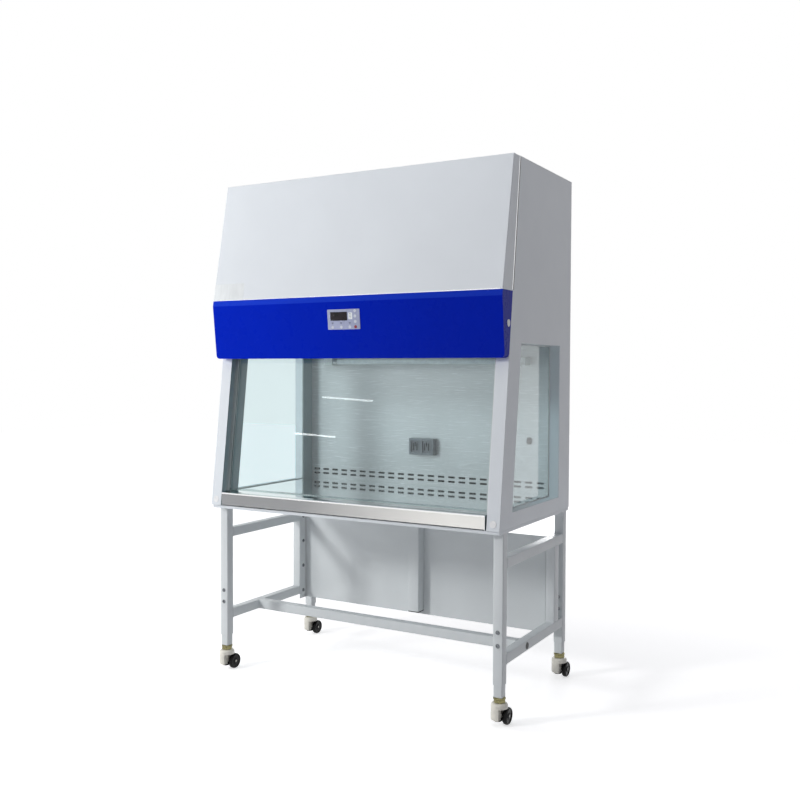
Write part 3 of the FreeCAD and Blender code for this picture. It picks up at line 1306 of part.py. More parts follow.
def build():
    for side, sign in SIDES.items():
        side_frame(side, sign)
    inner_legs()
    lower_beam()
    stand_back_panel()
    centre_stiffener()
    stand_bolts()
    plastic_plugs()
    caster_stems()
    for corner, mid_x, mid_y in leg_corners():
        caster_housing(corner, mid_x, mid_y)
        caster_wheel(corner, mid_x, mid_y)
        foot_pad(corner, mid_x, mid_y)
    base_pan()
    work_tray()
    for side, sign in SIDES.items():
        side_wall(side, sign)
        side_glass(side, sign)
    chamber_back_panel()
    rear_cover()
    top_cover()
    head_cover()
    bores = key_bores()
    control_fascia(bores)
    control_panel(bores)
    display_window()
    keys()
    controller_box(bores)
    sash_glass()
    sash_rail()
    sash_guides()
    cover_caps()
    plenum_box()
    filter_frame()
    filter_media()
    diffuser_screen()
    blower_housing()
    blower_impeller()
    blower_motor()
    prefilter()
    uv_lamp()
    uv_lamp_holders()
    chamber_light()
    socket_outlet()
    wall_plug()
    mains_gland()


def check_document():
    """Stop if anything in the document failed, or if a piece is not a sound solid."""
    for thing in doc.Objects:
        if any(word in thing.State for word in ("Invalid", "Error")):
            raise RuntimeError("%s failed: %s" % (thing.Name, thing.State))
    for piece in nodes:
        shape = piece.Shape
        if shape.isNull() or not shape.isValid() or not shape.Solids:
            raise RuntimeError("%s is not a sound solid" % piece.Label)


def export():
    """Write each piece to its own file."""
    os.makedirs("parts", exist_ok=True)
    for piece in nodes:
        piece.Shape.exportStep(os.path.join("parts", piece.Label + ".step"))


build()
doc.recompute()
check_document()
export()
print("pieces:", len(nodes))
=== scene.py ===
"""Looks of a vertical laminar flow cabinet on a wheeled stand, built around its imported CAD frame.

Everything is in metres, in the CAD's frame: X runs across the cabinet, Y from the front to the back and Z up.
"""

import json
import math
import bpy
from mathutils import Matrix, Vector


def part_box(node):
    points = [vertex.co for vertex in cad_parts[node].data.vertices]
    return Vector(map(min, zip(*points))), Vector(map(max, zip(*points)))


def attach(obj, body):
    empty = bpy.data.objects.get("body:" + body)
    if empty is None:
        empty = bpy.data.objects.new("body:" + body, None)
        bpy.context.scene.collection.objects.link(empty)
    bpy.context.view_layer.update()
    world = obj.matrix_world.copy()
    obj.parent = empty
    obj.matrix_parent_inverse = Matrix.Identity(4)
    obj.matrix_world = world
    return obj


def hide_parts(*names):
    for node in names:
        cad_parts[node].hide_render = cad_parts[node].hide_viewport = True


bl_info = {
    "name": "Laminar flow cabinet",
    "version": (1, 0, 0),
    "blender": (4, 5, 0),
    "location": "3D View > Sidebar > Cabinet",
    "description": "Dresses the CAD frame of a laminar flow cabinet with its shapes, finishes and stage",
    "category": "Add Mesh",
}

import bmesh
import bpy
from mathutils import Euler, Matrix, Vector

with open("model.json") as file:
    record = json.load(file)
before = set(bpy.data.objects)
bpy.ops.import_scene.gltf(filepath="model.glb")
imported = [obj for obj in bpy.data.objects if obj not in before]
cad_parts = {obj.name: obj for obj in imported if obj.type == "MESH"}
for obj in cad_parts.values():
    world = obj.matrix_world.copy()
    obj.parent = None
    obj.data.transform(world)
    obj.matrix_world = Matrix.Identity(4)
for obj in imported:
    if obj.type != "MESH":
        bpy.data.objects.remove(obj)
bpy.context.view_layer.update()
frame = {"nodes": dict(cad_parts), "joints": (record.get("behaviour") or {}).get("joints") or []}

SIDES = {"left": -1, "right": 1}
CORNERS = ("front_left", "back_left", "front_right", "back_right")
KEYS = ("key_up", "key_down", "key_set", "key_power", "key_light", "key_sterilise", "key_fan")
X_AXIS, Y_AXIS, Z_AXIS = Vector((1, 0, 0)), Vector((0, 1, 0)), Vector((0, 0, 1))
JOINTS = {joint["name"]: joint for joint in frame["joints"]}
SASH_UP = Vector(JOINTS["sash_slide"]["axis"])
FACE_IN = Vector(JOINTS["key_power_press"]["axis"])
FACE_UP = X_AXIS.cross(FACE_IN)
# How closely a face looks along an axis, as a cosine, to count as one of the faces on that side
FACING = 0.95
# Lean of the head's front, and of the front edges of the side walls, from upright
HEAD_SLOPE = math.radians(10.7)
WALL_SLOPE = math.radians(7)
# Name, place, target, width, depth where it isn't square, setting of its power, and whether mirrors show it
LAMPS = (
    ("key_lamp", (-2.7, -3.9, 2.5), (0, 0, 1.0), 0.7, None, "key_light", False),
    ("fill_lamp", (-1.2, -3.4, 0.75), (0, 0, 0.9), 1.6, None, "fill_light", False),
    ("back_lamp", (-0.8, 4.8, 2.4), (0, 0, 1.0), 1.6, None, "back_light", True),
    ("side_lamp", (-3.0, -1.2, 1.6), (0, 0.2, 1.0), 1.0, None, "side_light", False),
    ("upper_tube_lamp", (-2.22, -3.555, 1.84), (-1.18, 0.445, 1.24), 0.44, 0.014, "tube_light", True),
    ("lower_tube_lamp", (-2.475, -3.53, 1.525), (-1.435, 0.47, 0.925), 0.36, 0.014, "tube_light", True),
    ("top_lamp", (0.6, -1.2, 4.6), (0, 0, 1.2), 3.0, None, "top_light", True),
    ("chamber_lamp", (-0.1, 0.0, 1.38), (-0.1, 0.12, 0.7), 0.8, 0.2, "chamber_light", False),
)


def linear(text):
    """An sRGB hex colour as the linear colour that the shaders take."""
    parts = [int(text[i:i + 2], 16) / 255 for i in (0, 2, 4)]
    return tuple(p / 12.92 if p <= 0.04045 else ((p + 0.055) / 1.055) ** 2.4 for p in parts) + (1.0,)


def colour(label, description, text):
    return bpy.props.FloatVectorProperty(name=label, description=description, subtype="COLOR", size=4,
                                         min=0, max=1, default=linear(text))


def length(label, description, metres):
    return bpy.props.FloatProperty(name=label, description=description, unit="LENGTH", min=0, default=metres,
                                   precision=5)


def power(label, description, watts):
    return bpy.props.FloatProperty(name=label, description=description, unit="POWER", min=0, default=watts)


def strength(label, description, share):
    return bpy.props.FloatProperty(name=label, description=description, min=0, max=1, default=share)


def amount(label, description, whole):
    return bpy.props.IntProperty(name=label, description=description, min=1, default=whole)


class CabinetColours(bpy.types.PropertyGroup):
    cabinet: colour("Cabinet coat", "Powder coat on the cabinet's covers and side walls", "E3E8EC")
    stand: colour("Stand coat", "Powder coat on the stand's tubes and panel", "DBE0E1")
    fascia: colour("Fascia enamel", "Blue enamel on the control fascia", "0023BA")
    steel: colour("Stainless steel", "Brushed steel sheet inside the cabinet", "E6EAEC")
    glass: colour("Pane", "Body tint of the float glass", "EFF8F9")
    glass_edge: colour("Pane edge", "Ground edge of the float glass", "9CC9BE")
    caster: colour("Caster housing", "Moulded cream plastic of the caster housings", "EEEBDF")
    collar: colour("Caster collar", "Yellow passivated steel of the hex collars", "8A8560")
    plate: colour("Control plate", "Silver film of the control plate", "A2A8C4")
    socket: colour("Socket", "Moulded plastic of the power socket", "8C8E94")


class CabinetSizes(bpy.types.PropertyGroup):
    tube: length("Tube", "Outside size of the stand's square tube", 0.038)
    tube_wall: length("Tube wall", "Wall of the stand's square tube", 0.002)
    tube_corner: length("Tube corner", "Outside corner radius of the square tube", 0.0035)
    bead: length("Weld bead", "Radius of the weld beads on the stand", 0.0014)
    ripple: length("Weld ripple", "Distance between the ripples of a weld bead", 0.0032)
    fold: length("Fold", "Outside radius of the covers' folded edges", 0.0028)
    fascia_edge: length("Fascia edge", "Radius of the fascia's outer edges", 0.003)
    tray_fold: length("Tray fold", "Outside radius of the work tray's front bend", 0.006)
    pane_edge: length("Pane arris", "Width of the ground arris on the panes", 0.0006)
    bolt_radius: length("Bolt head radius", "Radius of a stand bolt's button head", 0.008)
    bolt_height: length("Bolt head height", "Height of a stand bolt's button head", 0.005)
    bolt_socket: length("Bolt socket", "Width across flats of a bolt's hexagon socket", 0.005)
    inner_tube: length("Inner tube", "Outside size of the telescopic inner leg", 0.0334)
    foot_plate: length("Foot plate", "Thickness of the plate that closes an inner leg", 0.006)
    inner_corner: length("Inner corner", "Outside corner radius of the telescopic inner leg", 0.003)
    end_plate: length("End plate", "Thickness of the plates at the ends of the cross beam", 0.004)
    collar_tall: length("Collar", "Height of a caster's hexagon collar", 0.02)
    coarse_pleat: length("Prefilter pleat", "Distance between the pleats of the prefilter", 0.014)
    # The dark rim round each slot is painted shade, so that the slots read black.
    slot_rim: length("Slot rim", "Width of the dark cut edge around a return air slot", 0.0012)
    slot_long: length("Slot length", "Length of a return air slot", 0.030)
    slot_tall: length("Slot height", "Height of a return air slot", 0.006)
    slot_columns: amount("Slot columns", "Return air slots side by side", 23)
    slot_first: length("First slot", "Middle of the cabinet to the first column of slots", 0.570)
    slot_pitch: length("Slot pitch", "Distance between the columns of slots", 0.0505)
    slot_rise: length("Slot rise", "Worktop to the lower row of slots", 0.0225)
    slot_row_gap: length("Slot rows", "Distance between the two rows of slots", 0.019)
    print_proud: length("Print", "Thickness of the print on the control plate", 0.00012)
    hem: length("Hem", "Radius of the folded hem at the sides of the head", 0.003)
    seal: length("Seal", "Radius of the silicone bead round the side panes", 0.0022)


class StageSettings(bpy.types.PropertyGroup):
    camera_place: bpy.props.FloatVectorProperty(
        name="Camera", description="Place of the camera", subtype="TRANSLATION", unit="LENGTH", size=3,
        default=(1.9499, -3.3180, 1.2617))
    camera_turn: bpy.props.FloatVectorProperty(
        name="Camera turn", description="Pitch, roll and heading of the camera", subtype="EULER", size=3,
        default=(math.radians(88.18), 0.0, math.radians(29.894)))
    camera_roll: bpy.props.FloatProperty(
        name="Camera roll", description="Turn of the picture about its middle", subtype="ANGLE",
        default=math.radians(0.209))
    lens: bpy.props.FloatProperty(name="Lens", description="Focal length in millimetres", default=41.945)
    floor: colour("Floor", "Pale floor", "E6E6E6")
    floor_reach: length("Floor reach", "Middle of the floor to its edge", 14.0)
    sky_tint: colour("Sky tint", "Tint of the even light from all around", "F3F3FF")
    key_light: power("Key light", "Power of the soft lamp at the front left", 99.0)
    top_light: power("Top light", "Power of the soft lamp above", 34.0)
    tube_light: power("Tube light", "Power of each tube mirrored in the sash", 0.13)
    chamber_light: power("Chamber light", "Power of the lamp inside the chamber", 0.5)
    fill_light: power("Fill light", "Power of the low soft lamp at the front", 3.0)
    back_light: power("Back light", "Power of the soft lamp behind the cabinet", 60.0)
    side_light: power("Side light", "Power of the soft lamp at the left", 26.0)
    sky: strength("Sky", "Strength of the even light from all around", 0.2)
    near_glow: strength("Near glow", "White that the floor shows by the object", 0.6)
    far_glow: strength("Far glow", "White that the floor shows far from the object", 0.9)


# Node trees

def add_node(tree, kind, inputs=None, **settings):
    """Adds one node with its settings. An input that is a socket is linked, and any other is set."""
    made = tree.nodes.new(kind)
    for name, setting in settings.items():
        setattr(made, name, setting)
    for key, given in (inputs or {}).items():
        if isinstance(given, bpy.types.NodeSocket):
            tree.links.new(given, made.inputs[key])
        else:
            made.inputs[key].default_value = given
    return made


def begin_finish(name, **inputs):
    """A material with one Principled shader. Returns it, its tree, shader and the object's coordinates."""
    made = bpy.data.materials.new(name)
    made.use_nodes = True
    tree = made.node_tree
    tree.nodes.clear()
    settings = {key.replace("_", " "): setting for key, setting in inputs.items()}
    shader = add_node(tree, "ShaderNodeBsdfPrincipled", settings)
    add_node(tree, "ShaderNodeOutputMaterial", {"Surface": shader.outputs["BSDF"]})
    place = add_node(tree, "ShaderNodeTexCoord").outputs["Object"]
    return made, tree, shader, place


def patches(tree, place, size, stretch=(1, 1, 1), detail=3.0):
    """Soft patches of the given size in metres, as a value around one half."""
    grid = add_node(tree, "ShaderNodeMapping", {"Vector": place, "Scale": [s / size for s in stretch]})
    noise = add_node(tree, "ShaderNodeTexNoise", {"Vector": grid.outputs[0], "Scale": 1.0, "Detail": detail})
    return noise.outputs[0]


def tones(tree, shader, driver, dark, light, low=0.35, high=0.65):
    """Base colour that runs between two tones with the driver."""
    blend = add_node(tree, "ShaderNodeMapRange", {"Value": driver, 1: low, 2: high})
    mixed = add_node(tree, "ShaderNodeMix", {"Factor": blend.outputs[0], 6: dark, 7: light}, data_type="RGBA")
    tree.links.new(mixed.outputs[2], shader.inputs["Base Color"])


def sheen_range(tree, shader, driver, low, high):
    """Roughness that runs between two values with the driver."""
    spread = add_node(tree, "ShaderNodeMapRange", {"Value": driver, 1: 0.3, 2: 0.7, 3: low, 4: high})
    tree.links.new(spread.outputs[0], shader.inputs["Roughness"])


def relief(tree, shader, height, depth):
    """Bump of the given depth in metres."""
    bump = add_node(tree, "ShaderNodeBump", {"Height": height, "Distance": depth, "Strength": 1.0})
    tree.links.new(bump.outputs[0], shader.inputs["Normal"])


def shade(tone, factor):
    return tuple(c * factor for c in tone[:3]) + (1.0,)


# Finishes

def powder_coat(name, tone, roughness):
    """Polyester powder coat, sprayed and baked: an even satin colour with a fine orange peel."""
    made, tree, shader, place = begin_finish(name, IOR=1.5, Coat_Weight=0.12, Coat_Roughness=0.25)
    tones(tree, shader, patches(tree, place, 0.35), shade(tone, 0.965), tone)
    sheen_range(tree, shader, patches(tree, place, 0.06), roughness - 0.04, roughness + 0.05)
    # The real peel is about 1 mm wide; it is drawn at 5 mm, so that it shows.
    relief(tree, shader, patches(tree, place, 0.005, detail=1.0), 0.00005)
    return made


def blue_enamel(name, tone):
    """Stoved gloss enamel on steel: a deep blue with a clear hard shine, with painted shade that deepens it
    towards the right, away from the key lamp.
    """
    made, tree, shader, place = begin_finish(name, IOR=1.5, Specular_IOR_Level=0.05)
    # Painted shade: the tone darkens from left to right across the fascia, with soft random patches over it.
    across_x = add_node(tree, "ShaderNodeSeparateXYZ", {0: place}).outputs[0]
    patches_and_painted_shade = add_node(tree, "ShaderNodeMath", {0: patches(tree, place, 0.3), 1: 0.2, 2: across_x},
                      operation="MULTIPLY_ADD")
    tones(tree, shader, patches_and_painted_shade.outputs[0], tone, shade(tone, 0.8), -0.3, 0.5)
    sheen_range(tree, shader, patches(tree, place, 0.05), 0.24, 0.34)
    relief(tree, shader, patches(tree, place, 0.006, detail=1.0), 0.00004)
    return made


def brushed_steel(name, tone, along=0, roughness=0.3, depth=0.2, metal=1.0):
    """Stainless steel sheet with a ground finish: fine straight scratches that draw the reflections out."""
    made, tree, shader, place = begin_finish(name, Metallic=metal)
    stretch = [1.0, 1.0, 1.0]
    stretch[along] = 0.02
    # Grit 180 leaves scratches near 0.1 mm apart; they are drawn 1.2 mm apart, so that they show.
    lines = patches(tree, place, 0.0012, stretch, 4.0)
    # Broad random patches of lighter and darker grey: a painted reflection of patchy surroundings on the
    # sheet.
    haze = patches(tree, place, 0.3, detail=1.0)
    both = add_node(tree, "ShaderNodeMix", {0: 0.3, 2: haze, 3: lines}, data_type="FLOAT").outputs[0]
    tones(tree, shader, both, shade(tone, 1 - depth), tone)
    sheen_range(tree, shader, lines, roughness * 0.92, roughness * 1.08)
    relief(tree, shader, lines, 0.0000012)
    return made


def lip_steel(name, dark, light):
    """Satin ground stainless steel on the tray's lip, with a painted reflection: its grey runs lighter from
    left to right along it.
    """
    made, tree, shader, place = begin_finish(name, Metallic=0.8)
    across_x = add_node(tree, "ShaderNodeSeparateXYZ", {0: place}).outputs[0]
    lines = patches(tree, place, 0.0012, (0.02, 1.0, 1.0), 4.0)
    # Painted reflection: the grey lightens from left to right, with the brush lines over it.
    lines_and_painted_reflection = add_node(tree, "ShaderNodeMath", {0: lines, 1: 0.1, 2: across_x}, operation="MULTIPLY_ADD")
    tones(tree, shader, lines_and_painted_reflection.outputs[0], dark, light, -0.15, 0.5)
    sheen_range(tree, shader, lines, 0.3, 0.42)
    relief(tree, shader, lines, 0.000003)
    return made


def plated_steel(name, tone, roughness=0.3):
    """Zinc plated steel: bright grey metal, slightly milky in patches."""
    made, tree, shader, place = begin_finish(name, Metallic=1.0)
    haze = patches(tree, place, 0.006)
    tones(tree, shader, haze, shade(tone, 0.8), tone)
    sheen_range(tree, shader, haze, roughness - 0.08, roughness + 0.12)
    relief(tree, shader, patches(tree, place, 0.0012), 0.00002)
    return made


def galvanised_steel(name):
    """Hot dip galvanised sheet: flat crystals, each with its own grey."""
    made, tree, shader, place = begin_finish(name, Metallic=1.0)
    crystals = add_node(tree, "ShaderNodeTexVoronoi", {"Vector": place, "Scale": 90.0})
    grey = add_node(tree, "ShaderNodeSeparateColor", {0: crystals.outputs["Color"]}).outputs[0]
    tones(tree, shader, grey, linear("8E9496"), linear("C3C8CA"), 0.0, 1.0)
    sheen_range(tree, shader, grey, 0.3, 0.5)
    relief(tree, shader, patches(tree, place, 0.004), 0.00003)
    return made


def moulded_plastic(name, tone, roughness, grain=0.0016, depth=0.00004, shine=0.5):
    """Injection moulded plastic: an even colour with the fine grain of its spark eroded mould."""
    made, tree, shader, place = begin_finish(name, IOR=1.53, Specular_IOR_Level=shine)
    tones(tree, shader, patches(tree, place, 0.02), shade(tone, 0.9), tone)
    sheen_range(tree, shader, patches(tree, place, 0.008), roughness - 0.06, roughness + 0.08)
    relief(tree, shader, patches(tree, place, grain), depth)
    return made


def clear_pane(name, tone, roughness=0.02, index=1.45):
    """Float glass: flat and clear, with a faint green body and the slight haze of a wiped pane.

    Light on its way from the lamps passes straight through, so that the chamber behind is lit.
    """
    made, tree, shader, place = begin_finish(name, Base_Color=tone, IOR=index, Transmission_Weight=1.0)
    sheen_range(tree, shader, patches(tree, place, 0.2, detail=2.0), 0.0, roughness)
    path = add_node(tree, "ShaderNodeLightPath").outputs
    light = add_node(tree, "ShaderNodeMath", {0: path["Is Shadow Ray"], 1: path["Is Diffuse Ray"]},
                     operation="MAXIMUM")
    through = add_node(tree, "ShaderNodeBsdfTransparent", {"Color": shade(tone, 0.93)})
    both = add_node(tree, "ShaderNodeMixShader",
                    {0: light.outputs[0], 1: shader.outputs[0], 2: through.outputs[0]})
    output = next(n for n in tree.nodes if n.bl_idname == "ShaderNodeOutputMaterial")
    tree.links.new(both.outputs[0], output.inputs["Surface"])
    return made


def ground_glass(name, tone):
    """Ground edge of float glass: green, because the light runs along the sheet, and dull."""
    made, tree, shader, place = begin_finish(name, IOR=1.52, Transmission_Weight=0.35)
    tones(tree, shader, patches(tree, place, 0.01), shade(tone, 0.75), tone)
    sheen_range(tree, shader, patches(tree, place, 0.003), 0.3, 0.5)
    return made


def filter_mat(name, tone, fibre):
    """Bonded glass fibre mat: matt, soft and faintly mottled by its fibres."""
    made, tree, shader, place = begin_finish(name, Sheen_Weight=0.3, Sheen_Roughness=0.6)
    threads = patches(tree, place, fibre, (1, 0.35, 1), 6.0)
    tones(tree, shader, threads, shade(tone, 0.82), tone)
    sheen_range(tree, shader, threads, 0.8, 0.98)
    relief(tree, shader, threads, 0.0004)
    return made


def display_acrylic(name):
    """Smoked acrylic window over an unlit display: nearly black with a hard polish."""
    made, tree, shader, place = begin_finish(name, IOR=1.49, Specular_IOR_Level=0.3)
    tones(tree, shader, patches(tree, place, 0.02), linear("07050A"), linear("21181F"))
    sheen_range(tree, shader, patches(tree, place, 0.006), 0.06, 0.14)
    return made


def film(name, tone):
    """Polyester film with a fine matt print side, glued flat to its panel."""
    made, tree, shader, place = begin_finish(name, IOR=1.57, Metallic=0.25)
    tones(tree, shader, patches(tree, place, 0.012, (1, 0.2, 0.2)), shade(tone, 0.93), tone)
    sheen_range(tree, shader, patches(tree, place, 0.004), 0.32, 0.45)
    relief(tree, shader, patches(tree, place, 0.0012), 0.00001)
    return made


def fresh_finish(slot):
    """Makes the finish of one of the record's material slots, or of a detail that has none."""
    tint = bpy.context.scene.cabinet_colours
    recipes = {
        "stand_paint": lambda: powder_coat("grey_powder_coat", tuple(tint.stand), 0.4),
        "cabinet_paint": lambda: powder_coat("white_powder_coat", tuple(tint.cabinet), 0.36),
        "blue_paint": lambda: blue_enamel("blue_gloss_enamel", tuple(tint.fascia)),
        # A lighter copy of the blue enamel: a painted highlight along the fascia's upper band.
        "bevel_paint": lambda: blue_enamel("blue_gloss_enamel_upper_band", linear("1A3CCB")),
        "stainless": lambda: brushed_steel("brushed_stainless_steel", tuple(tint.steel)),
        "polished_steel": lambda: brushed_steel("polished_stainless_worktop", linear("FAFBFB"), 0, 0.05,
                                                0.06),
        "wall_steel": lambda: brushed_steel("satin_stainless_back_wall", linear("DEDEDF"), 0, 0.26, 0.08,
                                            0.33),
        "satin_steel": lambda: lip_steel("satin_stainless_lip", linear("8F9091"), linear("D9D8D4")),
        # Painted shade for the side walls' inner faces.
        "painted_shade_lining": lambda: powder_coat("grey_green_lining_coat", linear("879CA1"), 0.36),
        # Bright polished steel on the painted hems: a painted highlight.
        "bright_edge": lambda: brushed_steel("polished_edge_trim", linear("F4F5F6"), 0, 0.12, 0.05),
        # Painted shade round the return air slots.
        "cut_edge": lambda: plated_steel("dark_laser_cut_edge", linear("17181A"), 0.5),
        # Painted shade inside the return air duct.
        "painted_duct_shade": lambda: filter_mat("black_duct_foam", linear("0C0C0E"), 0.003),
        # Painted shade for the socket's contact holes.
        "dark_recess": lambda: moulded_plastic("black_contact_slot", linear("08080A"), 0.6, shine=0.1),
        "zinc_steel": lambda: galvanised_steel("galvanised_steel_sheet"),
        "bolt_steel": lambda: plated_steel("zinc_plated_bolt", linear("7C8084"), 0.24),
        "stem_steel": lambda: plated_steel("zinc_plated_stem", linear("C6CACC")),
        "collar_metal": lambda: plated_steel("yellow_passivated_steel", tuple(tint.collar), 0.3),
        "caster_plastic": lambda: moulded_plastic("cream_moulded_abs", tuple(tint.caster), 0.2),
        "wheel_plastic": lambda: moulded_plastic("black_polyurethane_tread", linear("060607"),
                                                 0.2, 0.003, 0.00002, 0.16),
        "black_rubber": lambda: moulded_plastic("black_moulded_rubber", linear("101011"),
                                                0.6, 0.001, 0.0001, 0.25),
        "black_plastic": lambda: moulded_plastic("black_polyethylene", linear("151617"), 0.42, shine=0.3),
        "white_plastic": lambda: moulded_plastic("white_moulded_abs", linear("E4E6E5"), 0.36),
        "cap_plastic": lambda: moulded_plastic("glossy_white_polyamide", linear("F6F7F7"), 0.2),
        "plate_plastic": lambda: film("silver_polyester_film", tuple(tint.plate)),
        "display": lambda: display_acrylic("smoked_display_acrylic"),
        "red_plastic": lambda: moulded_plastic("red_moulded_key", linear("8E2A36"), 0.33, 0.0008),
        "clear_glass": lambda: clear_pane("clear_float_glass", tuple(tint.glass)),
        "clear_section": lambda: clear_pane("clear_acrylic_section", linear("FAFCFC"), index=1.1),
        "glass_edge": lambda: ground_glass("ground_glass_edge", tuple(tint.glass_edge)),
        "lamp_glass": lambda: moulded_plastic("coated_lamp_tube_glass", linear("EDF1F2"),
                                              0.14, 0.01, 0.00001),
        "filter_paper": lambda: filter_mat("pleated_glass_fibre_paper", linear("ECEDEA"), 0.0025),
        "filter_wool": lambda: filter_mat("prefilter_polyester_wool", linear("D5D8D6"), 0.004),
        "aluminium": lambda: brushed_steel("anodised_aluminium", linear("C7CACB"), 2, 0.36),
        "socket_plastic": lambda: moulded_plastic("light_grey_moulded_abs", tuple(tint.socket), 0.4),
        "motor_case": lambda: moulded_plastic("black_enamelled_casting", linear("2A2D30"),
                                              0.5, 0.003, 0.0002),
        "key_plastic": lambda: moulded_plastic("pale_moulded_key", linear("D3D7E2"), 0.3, 0.0008),
        "legend_print": lambda: film("white_legend_print", linear("E9EDEE")),
        "dark_print": lambda: film("dark_legend_print", linear("30344A")),
        "weld_metal": lambda: powder_coat("coated_weld_bead", tuple(tint.stand), 0.38),
        "sealant": lambda: moulded_plastic("white_silicone_bead", linear("DDE0DF"), 0.35, 0.004),
    }
    return recipes[slot]()


def finish_for(slot):
    """The finish of a slot, made the first time that it is asked for."""
    if slot not in finish_for.made:
        finish_for.made[slot] = fresh_finish(slot)
    return finish_for.made[slot]


finish_for.made = {}


# Meshes

def to_mesh(name, bm, smooth=32):
    """Turns a bmesh into a mesh with its flat faces flat and its rounded ones smooth."""
    mesh = bpy.data.meshes.new(name)
    bm.to_mesh(mesh)
    bm.free()
    mesh.shade_smooth()
    mesh.set_sharp_from_angle(angle=math.radians(smooth))
    return mesh


def baked(name, mesh, modifiers):
    """The mesh with its modifiers applied. Each modifier is a kind with its settings."""
    holder = bpy.data.objects.new(name, mesh)
    bpy.context.scene.collection.objects.link(holder)
    for kind, settings in modifiers:
        modifier = holder.modifiers.new(kind.title(), kind)
        for key, setting in settings.items():
            if key.startswith("Socket"):
                modifier[key] = setting
            else:
                setattr(modifier, key, setting)
    graph = bpy.context.evaluated_depsgraph_get()
    made = bpy.data.meshes.new_from_object(holder.evaluated_get(graph), depsgraph=graph)
    made.name = name
    bpy.data.objects.remove(holder)
    return made


def settle(name, mesh, slot, body, nodes=(), extra=()):
    """Puts a finished mesh in the scene with its finish, riding on a body and standing for CAD nodes."""
    mesh.materials.clear()
    for one in (slot, *extra):
        mesh.materials.append(finish_for(one))
    piece = bpy.data.objects.new(name, mesh)
    bpy.context.scene.collection.objects.link(piece)
    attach(piece, body)
    if nodes:
        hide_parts(*nodes)
    return piece


def looks(face, axis):
    return face.normal.dot(axis) > FACING


def second_finish(mesh, wanted):
    """Gives a mesh's second finish to the faces that the test picks."""
    for face in mesh.polygons:
        face.material_index = 1 if wanted(face) else 0


def merged_copy(node):
    """A bmesh of a CAD node with its loose triangles merged and its flat faces made whole."""
    bm = bmesh.new()
    bm.from_mesh(frame["nodes"][node].data)
    bmesh.ops.remove_doubles(bm, verts=bm.verts, dist=0.00002)
    bmesh.ops.dissolve_limit(bm, angle_limit=math.radians(0.5), verts=bm.verts, edges=bm.edges)
    bm.normal_update()
    return bm


def softened(name, bm, rules, segments=3):
    """Rounds the edges that the rules pick. A rule is a radius and a test of an edge."""
    layer = bm.edges.layers.float.new("bevel_weight_edge")
    widest = max(radius for radius, _ in rules)
    sharp = math.radians(30)
    for edge in bm.edges:
        turn = edge.calc_face_angle_signed(0.0) if len(edge.link_faces) == 2 else 0.0
        edge.smooth = abs(turn) < sharp
        for radius, wanted in rules:
            if abs(turn) > math.radians(18) and wanted(edge, turn):
                edge[layer] = radius / widest
                edge.smooth = True
                break
    for face in bm.faces:
        face.smooth = True
    mesh = bpy.data.meshes.new(name)
    bm.to_mesh(mesh)
    bm.free()
    return baked(name, mesh, [("BEVEL", {"width": widest, "segments": segments, "limit_method": "WEIGHT",
                                         "use_clamp_overlap": True}),
                              ("WEIGHTED_NORMAL", {"mode": "FACE_AREA", "weight": 100, "keep_sharp": True})])


def middle(edge):
    return (edge.verts[0].co + edge.verts[1].co) / 2


def runs_along(edge, axis, slack=0.99):
    return abs((edge.verts[1].co - edge.verts[0].co).normalized().dot(axis)) > slack


def outer(edge, turn):
    return turn > 0


def fold_line(edge, turn):
    """An outer edge between two broad faces, where a sheet is folded, and not on the sheet's own thin rim."""
    return turn > 0 and all(face.calc_area() / face.calc_perimeter() > 0.0015 for face in edge.link_faces)


def soft_node(name, node, slot, body, radius, segments=3, extra_rules=()):
    """A copy of a CAD node with its outer edges rounded, standing for it."""
    mesh = softened(name, merged_copy(node), [*extra_rules, (radius, outer)], segments)
    return settle(name, mesh, slot, body, [node])


def rounded_loop(half_u, half_v, corner, steps=4):
    points = []
    for index, (side_u, side_v) in enumerate(((1, 1), (-1, 1), (-1, -1), (1, -1))):
        for step in range(steps + 1):
            turn = math.radians(90 * index + 90 * step / steps)
            points.append((side_u * (half_u - corner) + corner * math.cos(turn),
                           side_v * (half_v - corner) + corner * math.sin(turn)))
    return points


def across(axis):
    """Two directions square to an axis, along the frame's axes where they can be."""
    side = X_AXIS if abs(axis.dot(X_AXIS)) < 0.9 else Y_AXIS
    up = axis.cross(side).normalized()
    return up.cross(axis).normalized(), up


def bridge(bm, loops, closed=False):
    """Joins rings of vertices one after the other."""
    pairs = list(zip(loops, loops[1:]))
    if closed:
        pairs.append((loops[-1], loops[0]))
    for one, two in pairs:
        for index in range(max(len(one), len(two))):
            after = index + 1
            ring = [one[index % len(one)], one[after % len(one)],
                    two[after % len(two)], two[index % len(two)]]
            bm.faces.new(list(dict.fromkeys(ring)))


def add_tube(bm, start, end, half_u, half_v, wall, corner):
    """A square tube with rounded corners and open ends, or a solid bar where the wall is nothing."""
    side, up = across((end - start).normalized())
    outlines = [(start, half_u, half_v, corner), (end, half_u, half_v, corner)]
    if wall:
        tight = max(corner - wall, 0.0004)
        outlines += [(end, half_u - wall, half_v - wall, tight), (start, half_u - wall, half_v - wall, tight)]
    loops = [[bm.verts.new(at + side * u + up * v) for u, v in rounded_loop(hu, hv, r)]
             for at, hu, hv, r in outlines]
    bridge(bm, loops, closed=bool(wall))
    if not wall:
        bm.faces.new(loops[0])
        bm.faces.new(loops[1])


